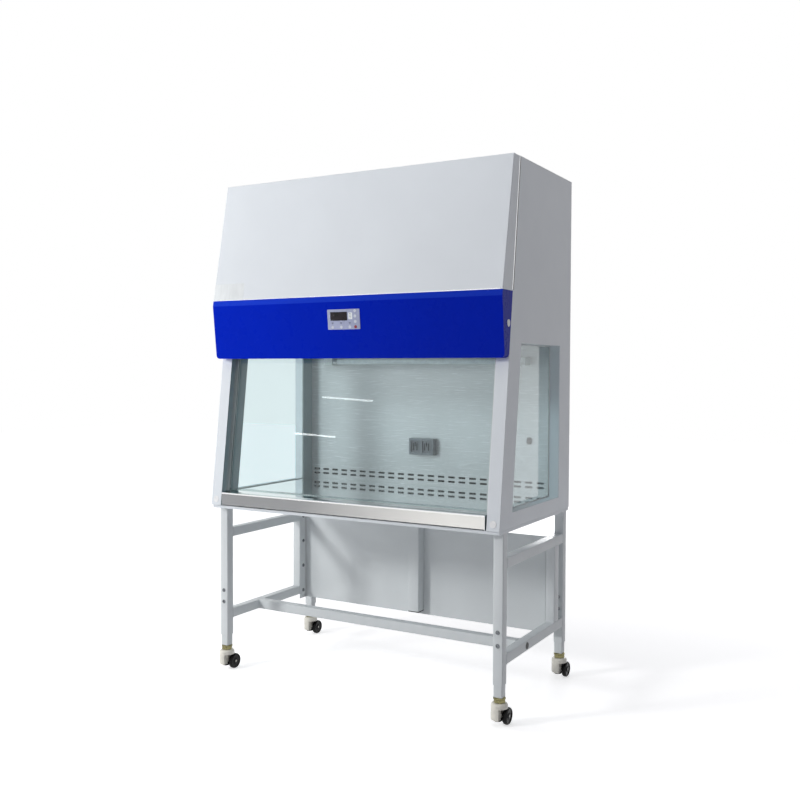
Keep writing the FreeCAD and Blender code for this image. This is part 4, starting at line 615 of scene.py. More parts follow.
def add_lathe(bm, profile, base, axis, steps=48, closed=False):
    """Turns a profile of radius and height around an axis. A radius of nothing closes it in a point."""
    side, up = across(axis)
    loops = []
    for radius, height in profile:
        at = base + axis * height
        if radius <= 1e-7:
            loops.append([bm.verts.new(at)])
            continue
        loops.append([bm.verts.new(at + (side * math.cos(t) + up * math.sin(t)) * radius)
                      for t in (2 * math.pi * i / steps for i in range(steps))])
    bridge(bm, loops, closed)


def add_slab(bm, centre, side, up, half_side, half_up, depth, corner, edge=0.0003, steps=5):
    """A rounded slab that stands on a plane, with a small rounding around its face."""
    out = side.cross(up)
    loops = []
    for inset, lift in ((0, 0), (0, depth - edge), (edge * 0.3, depth - edge * 0.3), (edge, depth)):
        outline = rounded_loop(half_side - inset, half_up - inset, max(corner - inset, 0.00005), steps)
        loops.append([bm.verts.new(centre + side * u + up * v + out * lift) for u, v in outline])
    bridge(bm, loops)
    bm.faces.new(loops[0])
    bm.faces.new(loops[-1])


def outward(bm):
    bmesh.ops.recalc_face_normals(bm, faces=bm.faces)
    return bm


# Geometry node trees

def begin_tree(name, sockets):
    """A geometry node tree with named inputs. Returns it and its group input."""
    tree = bpy.data.node_groups.new(name, "GeometryNodeTree")
    tree.interface.new_socket("Geometry", in_out="INPUT", socket_type="NodeSocketGeometry")
    for label, kind, start in sockets:
        socket = tree.interface.new_socket(label, in_out="INPUT", socket_type="NodeSocket" + kind)
        if start is not None:
            socket.default_value = start
    tree.interface.new_socket("Geometry", in_out="OUTPUT", socket_type="NodeSocketGeometry")
    return tree, add_node(tree, "NodeGroupInput").outputs


def end_tree(tree, geometry, slot):
    """Closes a tree with real geometry and its finish."""
    real = add_node(tree, "GeometryNodeRealizeInstances", {"Geometry": geometry})
    dressed = add_node(tree, "GeometryNodeSetMaterial",
                       {"Geometry": real.outputs[0], "Material": finish_for(slot)})
    add_node(tree, "NodeGroupOutput", {"Geometry": dressed.outputs[0]})
    return tree


def grown(name, mesh, tree, **sizes):
    """Runs a tree over a mesh with its inputs set by name, and returns plain geometry."""
    settings = {"node_group": tree}
    for item in tree.interface.items_tree:
        key = item.name.lower().replace(" ", "_")
        if item.in_out == "INPUT" and key in sizes:
            settings[item.identifier] = sizes[key]
    return baked(name, mesh, [("NODES", settings)])


def bead_tree(slot):
    """A rippled bead along every line of the mesh."""
    tree, given = begin_tree("bead_" + slot, [("Radius", "Float", 0.0014), ("Ripple", "Float", 0.003)])
    curve = add_node(tree, "GeometryNodeMeshToCurve", {"Mesh": given["Geometry"]})
    quarter = add_node(tree, "ShaderNodeMath", {0: given["Ripple"], 1: 0.25}, operation="MULTIPLY")
    even = add_node(tree, "GeometryNodeResampleCurve",
                    {"Curve": curve.outputs[0], "Length": quarter.outputs[0]}, mode="LENGTH")
    along = add_node(tree, "GeometryNodeSplineParameter").outputs["Length"]
    phase = add_node(tree, "ShaderNodeMath", {0: along, 1: given["Ripple"]}, operation="DIVIDE")
    turn = add_node(tree, "ShaderNodeMath", {0: phase.outputs[0], 1: 2 * math.pi}, operation="MULTIPLY")
    wave = add_node(tree, "ShaderNodeMath", {0: turn.outputs[0]}, operation="SINE")
    swell = add_node(tree, "ShaderNodeMath", {0: wave.outputs[0], 1: 0.16, 2: 1.0}, operation="MULTIPLY_ADD")
    sized = add_node(tree, "GeometryNodeSetCurveRadius",
                     {"Curve": even.outputs[0], "Radius": swell.outputs[0]})
    ring = add_node(tree, "GeometryNodeCurvePrimitiveCircle", {"Resolution": 8, "Radius": given["Radius"]})
    round_bar = add_node(tree, "GeometryNodeCurveToMesh",
                         {"Curve": sized.outputs[0], "Profile Curve": ring.outputs[0], "Fill Caps": True})
    if "Scale" in round_bar.inputs:
        tree.links.new(swell.outputs[0], round_bar.inputs["Scale"])
    return end_tree(tree, round_bar.outputs[0], slot)


def on_points_tree(slot):
    """One shape on every point, facing the point's own direction, with a random turn about it."""
    tree, given = begin_tree("shape_on_points_" + slot,
                             [("Shape", "Object", None), ("Most turn", "Float", 0.0), ("Seed", "Int", 7)])
    facing = add_node(tree, "GeometryNodeInputNamedAttribute", {"Name": "facing"}, data_type="FLOAT_VECTOR")
    aligned = add_node(tree, "FunctionNodeAlignRotationToVector", {"Vector": facing.outputs[0]}, axis="Z")
    chance = add_node(tree, "FunctionNodeRandomValue", {2: 0.0, 3: given["Most turn"], "Seed": given["Seed"]},
                      data_type="FLOAT")
    spin = add_node(tree, "FunctionNodeAxisAngleToRotation", {"Axis": (0, 0, 1), "Angle": chance.outputs[1]})
    turned = add_node(tree, "FunctionNodeRotateRotation", {0: aligned.outputs[0], 1: spin.outputs[0]},
                      rotation_space="LOCAL")
    shape = add_node(tree, "GeometryNodeObjectInfo", {"Object": given["Shape"]})
    points = add_node(tree, "GeometryNodeMeshToPoints", {"Mesh": given["Geometry"]})
    many = add_node(tree, "GeometryNodeInstanceOnPoints",
                    {"Points": points.outputs[0], "Instance": shape.outputs["Geometry"],
                     "Rotation": turned.outputs[0]})
    return end_tree(tree, many.outputs[0], slot)


def pleat_tree(slot):
    """A sheet folded to and fro along X, between a low and a high face."""
    tree, given = begin_tree("pleats_" + slot, [("Width", "Float", 1.0), ("Depth", "Float", 0.5),
                                                ("Height", "Float", 0.06), ("Pitch", "Float", 0.006)])
    half = add_node(tree, "ShaderNodeMath", {0: given["Pitch"], 1: 0.5}, operation="MULTIPLY")
    folds = add_node(tree, "ShaderNodeMath", {0: given["Width"], 1: half.outputs[0]}, operation="DIVIDE")
    count = add_node(tree, "ShaderNodeMath", {0: folds.outputs[0], 1: 1.0}, operation="ADD")
    grid = add_node(tree, "GeometryNodeMeshGrid", {"Size X": given["Width"], "Size Y": given["Depth"],
                                                   "Vertices X": count.outputs[0], "Vertices Y": 2})
    index = add_node(tree, "GeometryNodeInputIndex").outputs[0]
    column = add_node(tree, "ShaderNodeMath", {0: index, 1: 2.0}, operation="DIVIDE")
    whole = add_node(tree, "ShaderNodeMath", {0: column.outputs[0]}, operation="FLOOR")
    odd = add_node(tree, "ShaderNodeMath", {0: whole.outputs[0], 1: 2.0}, operation="MODULO")
    lift = add_node(tree, "ShaderNodeMath", {0: odd.outputs[0], 1: given["Height"]}, operation="MULTIPLY")
    rise = add_node(tree, "ShaderNodeCombineXYZ", {2: lift.outputs[0]})
    folded = add_node(tree, "GeometryNodeSetPosition",
                      {"Geometry": grid.outputs[0], "Offset": rise.outputs[0]})
    return end_tree(tree, folded.outputs[0], slot)


def beads_along(name, paths, slot, body, radius, ripple):
    """Beads along lines of points, each closed into a ring or left open."""
    bm = bmesh.new()
    for points, is_ring in paths:
        verts = [bm.verts.new(point) for point in points]
        for one, two in zip(verts, verts[1:] + ([verts[0]] if is_ring else [])):
            if one is not two:
                bm.edges.new((one, two))
    mesh = bpy.data.meshes.new(name + "_paths")
    bm.to_mesh(mesh)
    bm.free()
    made = grown(name, mesh, bead_tree(slot), radius=radius, ripple=ripple)
    made.shade_smooth()
    return settle(name, made, slot, body)


def shapes_on(name, shape_mesh, seats, slot, body, nodes=(), most_turn=0.0):
    """One shape on every seat, which is a point with the direction that the shape faces."""
    mesh = bpy.data.meshes.new(name + "_seats")
    mesh.from_pydata([tuple(point) for point, _ in seats], [], [])
    facing = mesh.attributes.new("facing", "FLOAT_VECTOR", "POINT")
    for index, (_, direction) in enumerate(seats):
        facing.data[index].vector = direction
    shape = bpy.data.objects.new(name + "_shape", shape_mesh)
    bpy.context.scene.collection.objects.link(shape)
    made = grown(name, mesh, on_points_tree(slot), shape=shape, most_turn=most_turn)
    bpy.data.objects.remove(shape)
    return settle(name, made, slot, body, nodes)


class CabinetOperator:
    """What the operators of this panel share."""
    bl_options = {"REGISTER"}

    @property
    def sizes(self):
        return bpy.context.scene.cabinet_sizes


# Stand

class CABINET_OT_side_frames(CabinetOperator, bpy.types.Operator):
    """Welded side frames, with rounded square tubes and beads at their joints"""
    bl_idname = "cabinet.side_frames"
    bl_label = "Side frames"

    def execute(self, context):
        size = self.sizes
        half = size.tube / 2
        beam_low, beam_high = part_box("lower_beam")
        rail_z = (beam_low.z + beam_high.z) / 2
        panel_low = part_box("stand_back_panel")[0]
        for side in SIDES:
            node = "side_frame_" + side
            low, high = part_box(node)
            x = (low.x + high.x) / 2
            front, back = low.y + half, high.y - half
            upper_z = high.z - 0.102 - half
            post = (panel_low.y + panel_low.y + 0.05 - 0.0005) / 2
            bm = bmesh.new()
            wall, corner = size.tube_wall, size.tube_corner
            for y in (front, back):
                add_tube(bm, Vector((x, y, low.z)), Vector((x, y, high.z)), half, half, wall, corner)
            rails = [(front + half, back - half, upper_z), (front + half, back - half, rail_z)]
            for start, end, z in rails:
                add_tube(bm, Vector((x, start, z)), Vector((x, end, z)), half, half, wall, corner)
            post_low, post_high = rail_z + half, upper_z - half
            add_tube(bm, Vector((x, post, post_low)), Vector((x, post, post_high)), half, 0.025, wall, corner)
            settle("stand_side_" + side, to_mesh(node, outward(bm)), "stand_paint", "cabinet", [node])
            paths = []
            for start, end, z in rails:
                for y in (start, end):
                    ring = [Vector((x + u, y, z + v)) for u, v in rounded_loop(half, half, corner)]
                    paths.append((ring, True))
            for z in (post_low, post_high):
                ring = [Vector((x + u, post + v, z)) for u, v in rounded_loop(half, 0.025, corner)]
                paths.append((ring, True))
            beads_along("stand_welds_" + side, paths, "weld_metal", "cabinet", size.bead, size.ripple)
        return {"FINISHED"}


class CABINET_OT_inner_legs(CabinetOperator, bpy.types.Operator):
    """Telescopic legs with their foot plates, the lower beam and the panel's stiffener"""
    bl_idname = "cabinet.inner_legs"
    bl_label = "Inner legs and beam"

    def execute(self, context):
        size = self.sizes
        low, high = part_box("inner_legs")
        half, plate, corner = size.inner_tube / 2, size.foot_plate, size.inner_corner
        bm = bmesh.new()
        for x in (low.x + half, high.x - half):
            for y in (low.y + half, high.y - half):
                seat = Vector((x, y, low.z + plate))
                add_tube(bm, seat, Vector((x, y, high.z)), half, half, size.tube_wall, corner)
                add_tube(bm, Vector((x, y, low.z)), seat, half, half, 0, corner)
        mesh = to_mesh("telescopic_legs", outward(bm))
        settle("telescopic_legs", mesh, "stand_paint", "cabinet", ["inner_legs"])

        low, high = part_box("lower_beam")
        centre = (low + high) / 2
        half_y, half_z = (high.y - low.y) / 2, (high.z - low.z) / 2
        bm = bmesh.new()
        plate = size.end_plate
        stops = [Vector((x, centre.y, centre.z)) for x in (low.x, low.x + plate, high.x - plate, high.x)]
        add_tube(bm, stops[1], stops[2], half_y, half_z, size.tube_wall, size.tube_corner)
        for start, end in (stops[:2], stops[2:]):
            add_tube(bm, start, end, half_y, half_z, 0, 0.001)
        settle("cross_beam", to_mesh("cross_beam", outward(bm)), "stand_paint", "cabinet", ["lower_beam"])
        rings = []
        for x in (low.x + plate, high.x - plate):
            rings.append(([Vector((x, centre.y + u, centre.z + v))
                           for u, v in rounded_loop(half_y - 0.001, half_z - 0.001, size.tube_corner)], True))
        beads_along("beam_welds", rings, "weld_metal", "cabinet", 0.001, size.ripple)

        low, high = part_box("centre_stiffener")
        centre = (low + high) / 2
        bm = bmesh.new()
        add_tube(bm, Vector((centre.x, centre.y, low.z)), Vector((centre.x, centre.y, high.z)),
                 (high.x - low.x) / 2, (high.y - low.y) / 2, size.tube_wall, size.tube_corner)
        settle("panel_stiffener", to_mesh("panel_stiffener", outward(bm)), "stand_paint", "cabinet",
               ["centre_stiffener"])
        return {"FINISHED"}


class CABINET_OT_stand_panel(CabinetOperator, bpy.types.Operator):
    """Folded back panel of the stand"""
    bl_idname = "cabinet.stand_panel"
    bl_label = "Stand back panel"

    def execute(self, context):
        mesh = softened("folded_back_panel", merged_copy("stand_back_panel"),
                        [(0.003, lambda edge, turn: turn > 0 and edge.calc_length() > 0.3), (0.0005, outer)])
        settle("folded_back_panel", mesh, "stand_paint", "cabinet", ["stand_back_panel"])
        return {"FINISHED"}


class CABINET_OT_fasteners(CabinetOperator, bpy.types.Operator):
    """Button head bolts, black plugs and the white screw caps"""
    bl_idname = "cabinet.fasteners"
    bl_label = "Bolts, plugs and caps"

    def execute(self, context):
        size = self.sizes
        bm = bmesh.new()
        bm.from_mesh(frame["nodes"]["stand_bolts"].data)
        bmesh.ops.remove_doubles(bm, verts=bm.verts, dist=0.00002)
        seats = []
        for island in islands(bm):
            spans = [(min(v.co[i] for v in island), max(v.co[i] for v in island)) for i in range(3)]
            long_axis = max(range(3), key=lambda i: spans[i][1] - spans[i][0])
            across_mid = Vector([(a + b) / 2 for a, b in spans])
            wide = max(range(3), key=lambda i: (i != long_axis) * (spans[i][1] - spans[i][0]))
            reach = (spans[wide][1] - spans[wide][0]) / 2 * 0.8
            head = [v.co[long_axis] for v in island if abs(v.co[wide] - across_mid[wide]) > reach]
            out = 1 if sum(head) / len(head) > across_mid[long_axis] else -1
            facing = Vector([out if i == long_axis else 0 for i in range(3)])
            seat = across_mid.copy()
            seat[long_axis] = spans[long_axis][1 if out > 0 else 0] - out * size.bolt_height
            seats.append((seat, facing))
        bm.free()
        shapes_on("button_head_bolts", self.button_head(size), seats, "bolt_steel", "cabinet",
                  ["stand_bolts"], math.pi / 3)
        soft_node("black_plugs", "plastic_plugs", "black_plastic", "cabinet", 0.0008)
        soft_node("white_screw_caps", "cover_caps", "cap_plastic", "cabinet", 0.0007)
        return {"FINISHED"}

    @staticmethod
    def button_head(size):
        """A domed head with a hexagon socket, and its shank."""
        bm = bmesh.new()
        radius, height = size.bolt_radius, size.bolt_height
        steps = 24
        hexagon = size.bolt_socket / 2
        rings = [(0.004, -0.0155), (0.004, 0.0), (radius - 0.0006, 0.0), (radius, 0.0006),
                 (radius * 0.97, 0.0018), (radius * 0.84, 0.0034), (radius * 0.62, height * 0.93),
                 (hexagon * 1.22, height)]
        loops = []
        for r, z in rings:
            loops.append([bm.verts.new((r * math.cos(t), r * math.sin(t), z))
                          for t in (2 * math.pi * i / steps for i in range(steps))])
        for z in (height, height - 0.0026):
            ring = []
            for i in range(steps):
                t = 2 * math.pi * i / steps
                flat = hexagon / math.cos((t % (math.pi / 3)) - math.pi / 6)
                ring.append(bm.verts.new((flat * math.cos(t), flat * math.sin(t), z)))
            loops.append(ring)
        bridge(bm, loops)
        bm.faces.new(loops[0])
        bm.faces.new(loops[-1])
        return to_mesh("button_head", outward(bm))


def islands(bm):
    """The separate solids of a mesh, each as its list of vertices."""
    bm.verts.ensure_lookup_table()
    seen = set()
    groups = []
    for start in bm.verts:
        if start in seen:
            continue
        seen.add(start)
        group, queue = [], [start]
        while queue:
            vert = queue.pop()
            group.append(vert)
            for edge in vert.link_edges:
                other = edge.other_vert(vert)
                if other not in seen:
                    seen.add(other)
                    queue.append(other)
        groups.append(group)
    return groups


class CABINET_OT_casters(CabinetOperator, bpy.types.Operator):
    """Casters with their collars, wheels and levelling feet"""
    bl_idname = "cabinet.casters"
    bl_label = "Casters"

    def execute(self, context):
        low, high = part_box("caster_stems")
        stems, collars = bmesh.new(), bmesh.new()
        for corner in CORNERS:
            swivel = Vector(JOINTS["caster_swivel_" + corner]["pos_m"])
            foot = Vector((swivel.x, swivel.y, low.z))
            leg_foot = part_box("inner_legs")[0].z
            collar_foot = leg_foot - self.sizes.collar_tall
            self.add_stem(stems, foot, collar_foot - low.z, leg_foot - low.z, high.z - low.z)
            self.add_collar(collars, Vector((swivel.x, swivel.y, collar_foot)), leg_foot - collar_foot)
        for name, bm, slot in (("caster_stems_zinc", stems, "stem_steel"),
                               ("caster_hex_collars", collars, "collar_metal")):
            settle(name, to_mesh(name, outward(bm)), slot, "cabinet", ["caster_stems"])
        for corner in CORNERS:
            name = "caster_housing_" + corner
            soft_node("moulded_" + name, name, "caster_plastic", "caster_" + corner, 0.0012, 3)
            self.make_wheel(corner)
            self.make_pad(corner)
        return {"FINISHED"}

    @staticmethod
    def add_stem(bm, foot, collar, leg, top):
        profile = [(0, 0), (0.009, 0), (0.01, 0.001), (0.01, 0.0045), (0.009, 0.005), (0.006, 0.0052),
                   (0.006, collar), (0.006, leg), (0.006, top - 0.001), (0.005, top), (0, top)]
        add_lathe(bm, profile, foot, Z_AXIS, 32)

    @staticmethod
    def add_collar(bm, foot, height):
        """A turned flange under the leg and a hexagon with chamfers below it."""
        steps = 48
        flats, flange = 0.0205, 0.0228
        shape = [(flats - 0.0022, 0.0), (flats, 0.0014), (flats, height * 0.56),
                 (flats - 0.0012, height * 0.62)]
        loops = []
        for reach, z in shape:
            ring = []
            for i in range(steps):
                t = 2 * math.pi * i / steps
                hexagon = (reach - 0.0006) / math.cos((t % (math.pi / 3)) - math.pi / 6)
                out = min(hexagon, reach * 1.09)
                ring.append(bm.verts.new(foot + Vector((out * math.cos(t), out * math.sin(t), z))))
            loops.append(ring)
        turned = [(flange - 0.0012, height * 0.62), (flange, height * 0.66), (flange, height * 0.86),
                  (flange - 0.0012, height * 0.92), (0.0185, height * 0.93), (0.018, height),
                  (0.0061, height), (0.0061, 0.0)]
        for reach, z in turned:
            loops.append([bm.verts.new(foot + Vector((reach * math.cos(t), reach * math.sin(t), z)))
                          for t in (2 * math.pi * i / steps for i in range(steps))])
        bridge(bm, loops, closed=True)

    @staticmethod
    def make_wheel(corner):
        node = "caster_wheel_" + corner
        low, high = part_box(node)
        axle = Vector(JOINTS["caster_wheel_roll_" + corner]["pos_m"])
        wide = high.x - low.x
        radius = (high.z - low.z) / 2
        base = Vector((low.x, axle.y, axle.z))
        bore, hub, web, rim = 0.00506, 0.011, 0.0165, 0.0235
        profile = [(bore, 0.0), (hub - 0.001, 0.0), (hub, 0.001), (hub + 0.0008, 0.003), (web, 0.0042),
                   (rim, 0.0034), (rim + 0.0012, 0.0012), (radius - 0.0046, 0.0006),
                   (radius - 0.0022, 0.0018), (radius - 0.0006, 0.0042), (radius, 0.0068),
                   (radius, wide * 0.5 - 0.0014), (radius - 0.0012, wide * 0.5 - 0.0006)]
        profile += [(r, wide - z) for r, z in reversed(profile)]
        bm = bmesh.new()
        add_lathe(bm, profile, base, X_AXIS, 72, closed=True)
        settle("rolling_wheel_" + corner, to_mesh("rolling_wheel", outward(bm), 40), "wheel_plastic",
               "wheel_" + corner, [node])

    @staticmethod
    def make_pad(corner):
        node = "foot_pad_" + corner
        low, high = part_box(node)
        centre = (low + high) / 2
        radius = (high.x - low.x) / 2
        top = high.z - low.z
        profile = [(0, 0.001), (0.004, 0.001), (0.0045, 0.0)]
        for ring in range(3):
            start = 0.006 + ring * 0.0032
            profile += [(start, 0.0), (start + 0.0004, 0.0012), (start + 0.0012, 0.0012),
                        (start + 0.0016, 0.0)]
        profile += [(radius - 0.0012, 0.0), (radius, 0.0012), (radius, 0.0075), (radius - 0.0015, 0.0105),
                    (radius - 0.004, 0.012), (0.0085, 0.012), (0.005, 0.0124)]
        z = 0.0134
        while z < top - 0.0015:
            profile += [(0.005, z), (0.0046, z + 0.0004), (0.0046, z + 0.0006), (0.005, z + 0.001)]
            z += 0.0012
        profile += [(0.0046, top - 0.0004), (0.004, top), (0, top)]
        bm = bmesh.new()
        add_lathe(bm, profile, Vector((centre.x, centre.y, low.z)), Z_AXIS, 40)
        settle("levelling_foot_" + corner, to_mesh("levelling_foot", outward(bm), 40), "black_rubber",
               "foot_" + corner, [node])


# Cabinet shell

class CABINET_OT_shell(CabinetOperator, bpy.types.Operator):
    """Side walls, head, top and rear covers and the base pan, with folded edges"""
    bl_idname = "cabinet.shell"
    bl_label = "Shell"

    def execute(self, context):
        rim = 0.0004
        bends = [(self.sizes.fold, fold_line)]
        for side in SIDES:
            self.make_wall(side, rim, bends)
        low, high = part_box("head_cover")

        def side_seam(edge, turn):
            reach = abs(middle(edge).x)
            return turn > 0 and reach > high.x - 0.0002 and edge.calc_length() > 0.3

        soft_node("folded_head_cover", "head_cover", "cabinet_paint", "cabinet", rim, 4,
                  [*bends, (0.0014, side_seam)])
        for piece, node in (("folded_top_cover", "top_cover"), ("folded_base_pan", "base_pan")):
            soft_node(piece, node, "cabinet_paint", "cabinet", rim, 4, bends)
        self.make_rear(rim, bends)
        self.add_film(low)
        hem = self.sizes.hem
        # Down each side seam of the head, a bright polished bead gives a painted highlight on the hem.
        for side, sign in SIDES.items():
            foot = Vector((sign * high.x, high.y - (high.z - low.z) * math.tan(WALL_SLOPE), low.z + 0.004))
            top = Vector((sign * high.x, high.y, high.z - 0.004))
            for name, shift, slot, thick in (("head_hem_", -1.0, "bright_edge", 0.6),
                                             # A black bead beside the hem: a painted shadow line for the
                                             # seam's gap.
                                             ("head_gap_", 0.9, "black_rubber", 0.55)):
                line = [at + Y_AXIS * hem * shift for at in (foot, top)]
                beads_along(name + side, [(line, False)], slot, "cabinet", hem * thick, 0.5)
        # A bright polished bead along the head's lower edge: a painted highlight on its bottom bend.
        line = [Vector((x, low.y - 0.0006, low.z + 0.0016)) for x in (-high.x + 0.01, high.x - 0.01)]
        beads_along("head_lower_hem", [(line, False)], "bright_edge", "cabinet", 0.0016, 0.5)
        return {"FINISHED"}

    @staticmethod
    def make_rear(rim, bends):
        """The rear cover, with a black fibre finish on the face that looks into the return air duct: painted
        shade inside the duct.
        """
        mesh = softened("folded_rear_cover", merged_copy("rear_cover"), [*bends, (rim, outer)], 4)
        settle("folded_rear_cover", mesh, "cabinet_paint", "cabinet", ["rear_cover"], ["painted_duct_shade"])
        half_duct = 0.595
        second_finish(mesh, lambda face: looks(face, -Y_AXIS) and abs(face.center.x) < half_duct)

    @staticmethod
    def make_wall(side, rim, bends):
        """A hollow side wall, with a darker grey-green coat on the faces that look into the chamber: painted
        shade for inner faces that turn away from the lamps.
        """
        name, node = "hollow_side_wall_" + side, "side_wall_" + side
        mesh = softened(name, merged_copy(node), [*bends, (rim, outer)], 4)
        settle(name, mesh, "cabinet_paint", "cabinet", [node], ["painted_shade_lining"])
        inward, half_chamber = -SIDES[side] * X_AXIS, 0.601
        second_finish(mesh, lambda face: looks(face, inward) and abs(face.center.x) < half_chamber)

    @staticmethod
    def add_film(foot):
        """A blank piece of film near the lower left corner of the head."""
        out = Vector((0, -math.cos(HEAD_SLOPE), math.sin(HEAD_SLOPE)))
        up = X_AXIS.cross(-out)
        low = Vector((-0.5725, foot.y, foot.z))
        bm = bmesh.new()
        half_wide, half_tall, thick, corner = 0.0765, 0.034, 0.0002, 0.001
        middle_of_film = low + up * 0.037 + out * 0.0001
        add_slab(bm, middle_of_film, X_AXIS, up, half_wide, half_tall, thick, corner, 0.00008)
        settle("blank_film", to_mesh("blank_film", outward(bm)), "legend_print", "cabinet")


class CABINET_OT_work_tray(CabinetOperator, bpy.types.Operator):
    """Bent stainless work tray"""
    bl_idname = "cabinet.work_tray"
    bl_label = "Work tray"

    def execute(self, context):
        low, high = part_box("work_tray")
        bend = self.sizes.tray_fold

        def front_bend(edge, turn):
            at = middle(edge)
            return turn > 0 and runs_along(edge, X_AXIS) and at.z > high.z - 0.0002 and at.y < low.y + 0.02

        def inside_bend(edge, turn):
            at = middle(edge)
            return turn < 0 and runs_along(edge, X_AXIS) and at.z > high.z - 0.003 and at.y < low.y + 0.02

        sheet = 0.0015
        mesh = softened("bent_work_tray", merged_copy("work_tray"),
                        [(bend, front_bend), (bend - sheet, inside_bend), (0.0005, outer)], 5)
        settle("bent_work_tray", mesh, "polished_steel", "cabinet", ["work_tray"], ["satin_steel"])
        second_finish(mesh, lambda face: looks(face, -Y_AXIS) and face.center.z < high.z - bend
                      and face.center.y < low.y + 0.001)
        return {"FINISHED"}


class CABINET_OT_back_wall(CabinetOperator, bpy.types.Operator):
    """Slotted back wall of the chamber, with a dark rim of painted shade around every slot"""
    bl_idname = "cabinet.back_wall"
    bl_label = "Back wall"

    def execute(self, context):
        size = self.sizes
        dress("chamber_back_panel", "wall_steel")
        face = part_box("chamber_back_panel")[0]
        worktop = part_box("work_tray")[1].z
        seats = [(Vector((-size.slot_first + column * size.slot_pitch, face.y,
                          worktop + size.slot_rise + row * size.slot_row_gap)), Vector((0, -1, 0)))
                 for row in range(2) for column in range(size.slot_columns)]
        bm = bmesh.new()
        long, tall, rim = size.slot_long / 2, size.slot_tall / 2, size.slot_rim
        loops = []
        for grow, lift in ((rim, 0.0), (rim * 0.6, 0.0006), (0.0, 0.0006), (-0.0003, -0.0004)):
            outline = rounded_loop(long + grow, tall + grow, tall * 0.8 + max(grow, 0))
            loops.append([bm.verts.new((u, v, lift)) for u, v in outline])
        bridge(bm, loops)
        shapes_on("slot_rims", to_mesh("slot_rim", outward(bm)), seats, "cut_edge", "cabinet")
        return {"FINISHED"}


def dress(node, slot):
    """Gives a CAD node's own object the finish of a slot."""
    thing = frame["nodes"][node]
    thing.data.materials.clear()
    thing.data.materials.append(finish_for(slot))


class CABINET_OT_fascia(CabinetOperator, bpy.types.Operator):
    """Blue control fascia with its control plate, display and keys"""
    bl_idname = "cabinet.fascia"
    bl_label = "Control fascia"

    def execute(self, context):
        size = self.sizes
        mesh = softened("enamelled_fascia", merged_copy("control_fascia"),
                        [(size.fascia_edge, fold_line), (0.0004, outer)], 4)
        settle("enamelled_fascia", mesh, "blue_paint", "cabinet", ["control_fascia"], ["bevel_paint"])
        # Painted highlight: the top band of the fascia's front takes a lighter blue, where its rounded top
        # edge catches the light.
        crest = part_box("control_fascia")[1].z - 0.022
        second_finish(mesh, lambda face: face.normal.y < -0.9 and face.center.z > crest)
        low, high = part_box("control_panel")
        plate = (low + high) / 2
        half_u = (high.x - low.x) / 2
        half_v = ((high.z - low.z) - 0.002 * abs(FACE_IN.z)) / 2 / FACE_UP.z
        back = plate + FACE_IN * 0.001
        bm = bmesh.new()
        add_slab(bm, back, X_AXIS, FACE_UP, half_u, half_v, 0.002, 0.003, 0.0006)
        mesh = to_mesh("control_plate", outward(bm))
        settle("control_plate", mesh, "plate_plastic", "cabinet", ["control_panel"])

        low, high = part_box("display_window")
        pane = (low + high) / 2
        half_u = (high.x - low.x) / 2
        half_v = ((high.z - low.z) - 0.001 * abs(FACE_IN.z)) / 2 / FACE_UP.z
        bm = bmesh.new()
        add_slab(bm, pane + FACE_IN * 0.0005, X_AXIS, FACE_UP, half_u, half_v, 0.001, 0.0015, 0.0004)
        settle("display_pane", to_mesh("display_pane", outward(bm)), "display", "cabinet", ["display_window"])

        self.print_plate(back - FACE_IN * 0.002, size.print_proud)
        for key in KEYS:
            self.make_key(key)
        return {"FINISHED"}

    @staticmethod
    def print_plate(face, proud):
        """A pale printed field beside the display, and plain bars that stand for the keys' legends."""
        field, bars = bmesh.new(), bmesh.new()
        add_slab(field, face + X_AXIS * 0.0315 + FACE_UP * 0.0125, X_AXIS, FACE_UP, 0.0085, 0.0125, proud,
                 0.001, proud * 0.4)
        for column in range(3):
            for row, wide in ((0, 0.009), (1, 0.006)):
                at = face + X_AXIS * (-0.0505 + column * 0.039) + FACE_UP * (-0.0125 - row * 0.0032)
                add_slab(bars, at, X_AXIS, FACE_UP, wide / 2, 0.0008, proud, 0.0004, proud * 0.4, 2)
        for row in range(4):
            at = face + X_AXIS * 0.0305 + FACE_UP * (0.021 - row * 0.0055)
            add_slab(bars, at - FACE_IN * proud, X_AXIS, FACE_UP, 0.0045, 0.0007, proud, 0.0004, proud * 0.4,
                     2)
        settle("printed_field", to_mesh("printed_field", outward(field)), "legend_print", "cabinet")
        settle("legend_bars", to_mesh("legend_bars", outward(bars)), "dark_print", "cabinet")

    @staticmethod
    def make_key(key):
        low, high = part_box(key)
        centre = (low + high) / 2
        radius = (high.x - low.x) / 2
        slant = math.sqrt(1 - FACE_IN.y ** 2)
        long = ((high.y - low.y) - 2 * radius * slant) / abs(FACE_IN.y)
        back = centre + FACE_IN * (long / 2)
        dish = 0.0003
        profile = [(0, 0), (radius, 0), (radius, long - 0.0007), (radius - 0.0002, long - 0.0003),
                   (radius - 0.0007, long), (radius - 0.0014, long), (radius - 0.0022, long - dish),
                   (radius * 0.3, long - dish * 1.4), (0, long - dish * 1.5)]
        bm = bmesh.new()
        add_lathe(bm, profile, back, -FACE_IN, 40)
        slot = "red_plastic" if key == "key_power" else "key_plastic"
        settle("moulded_" + key, to_mesh(key, outward(bm)), slot, key, [key])


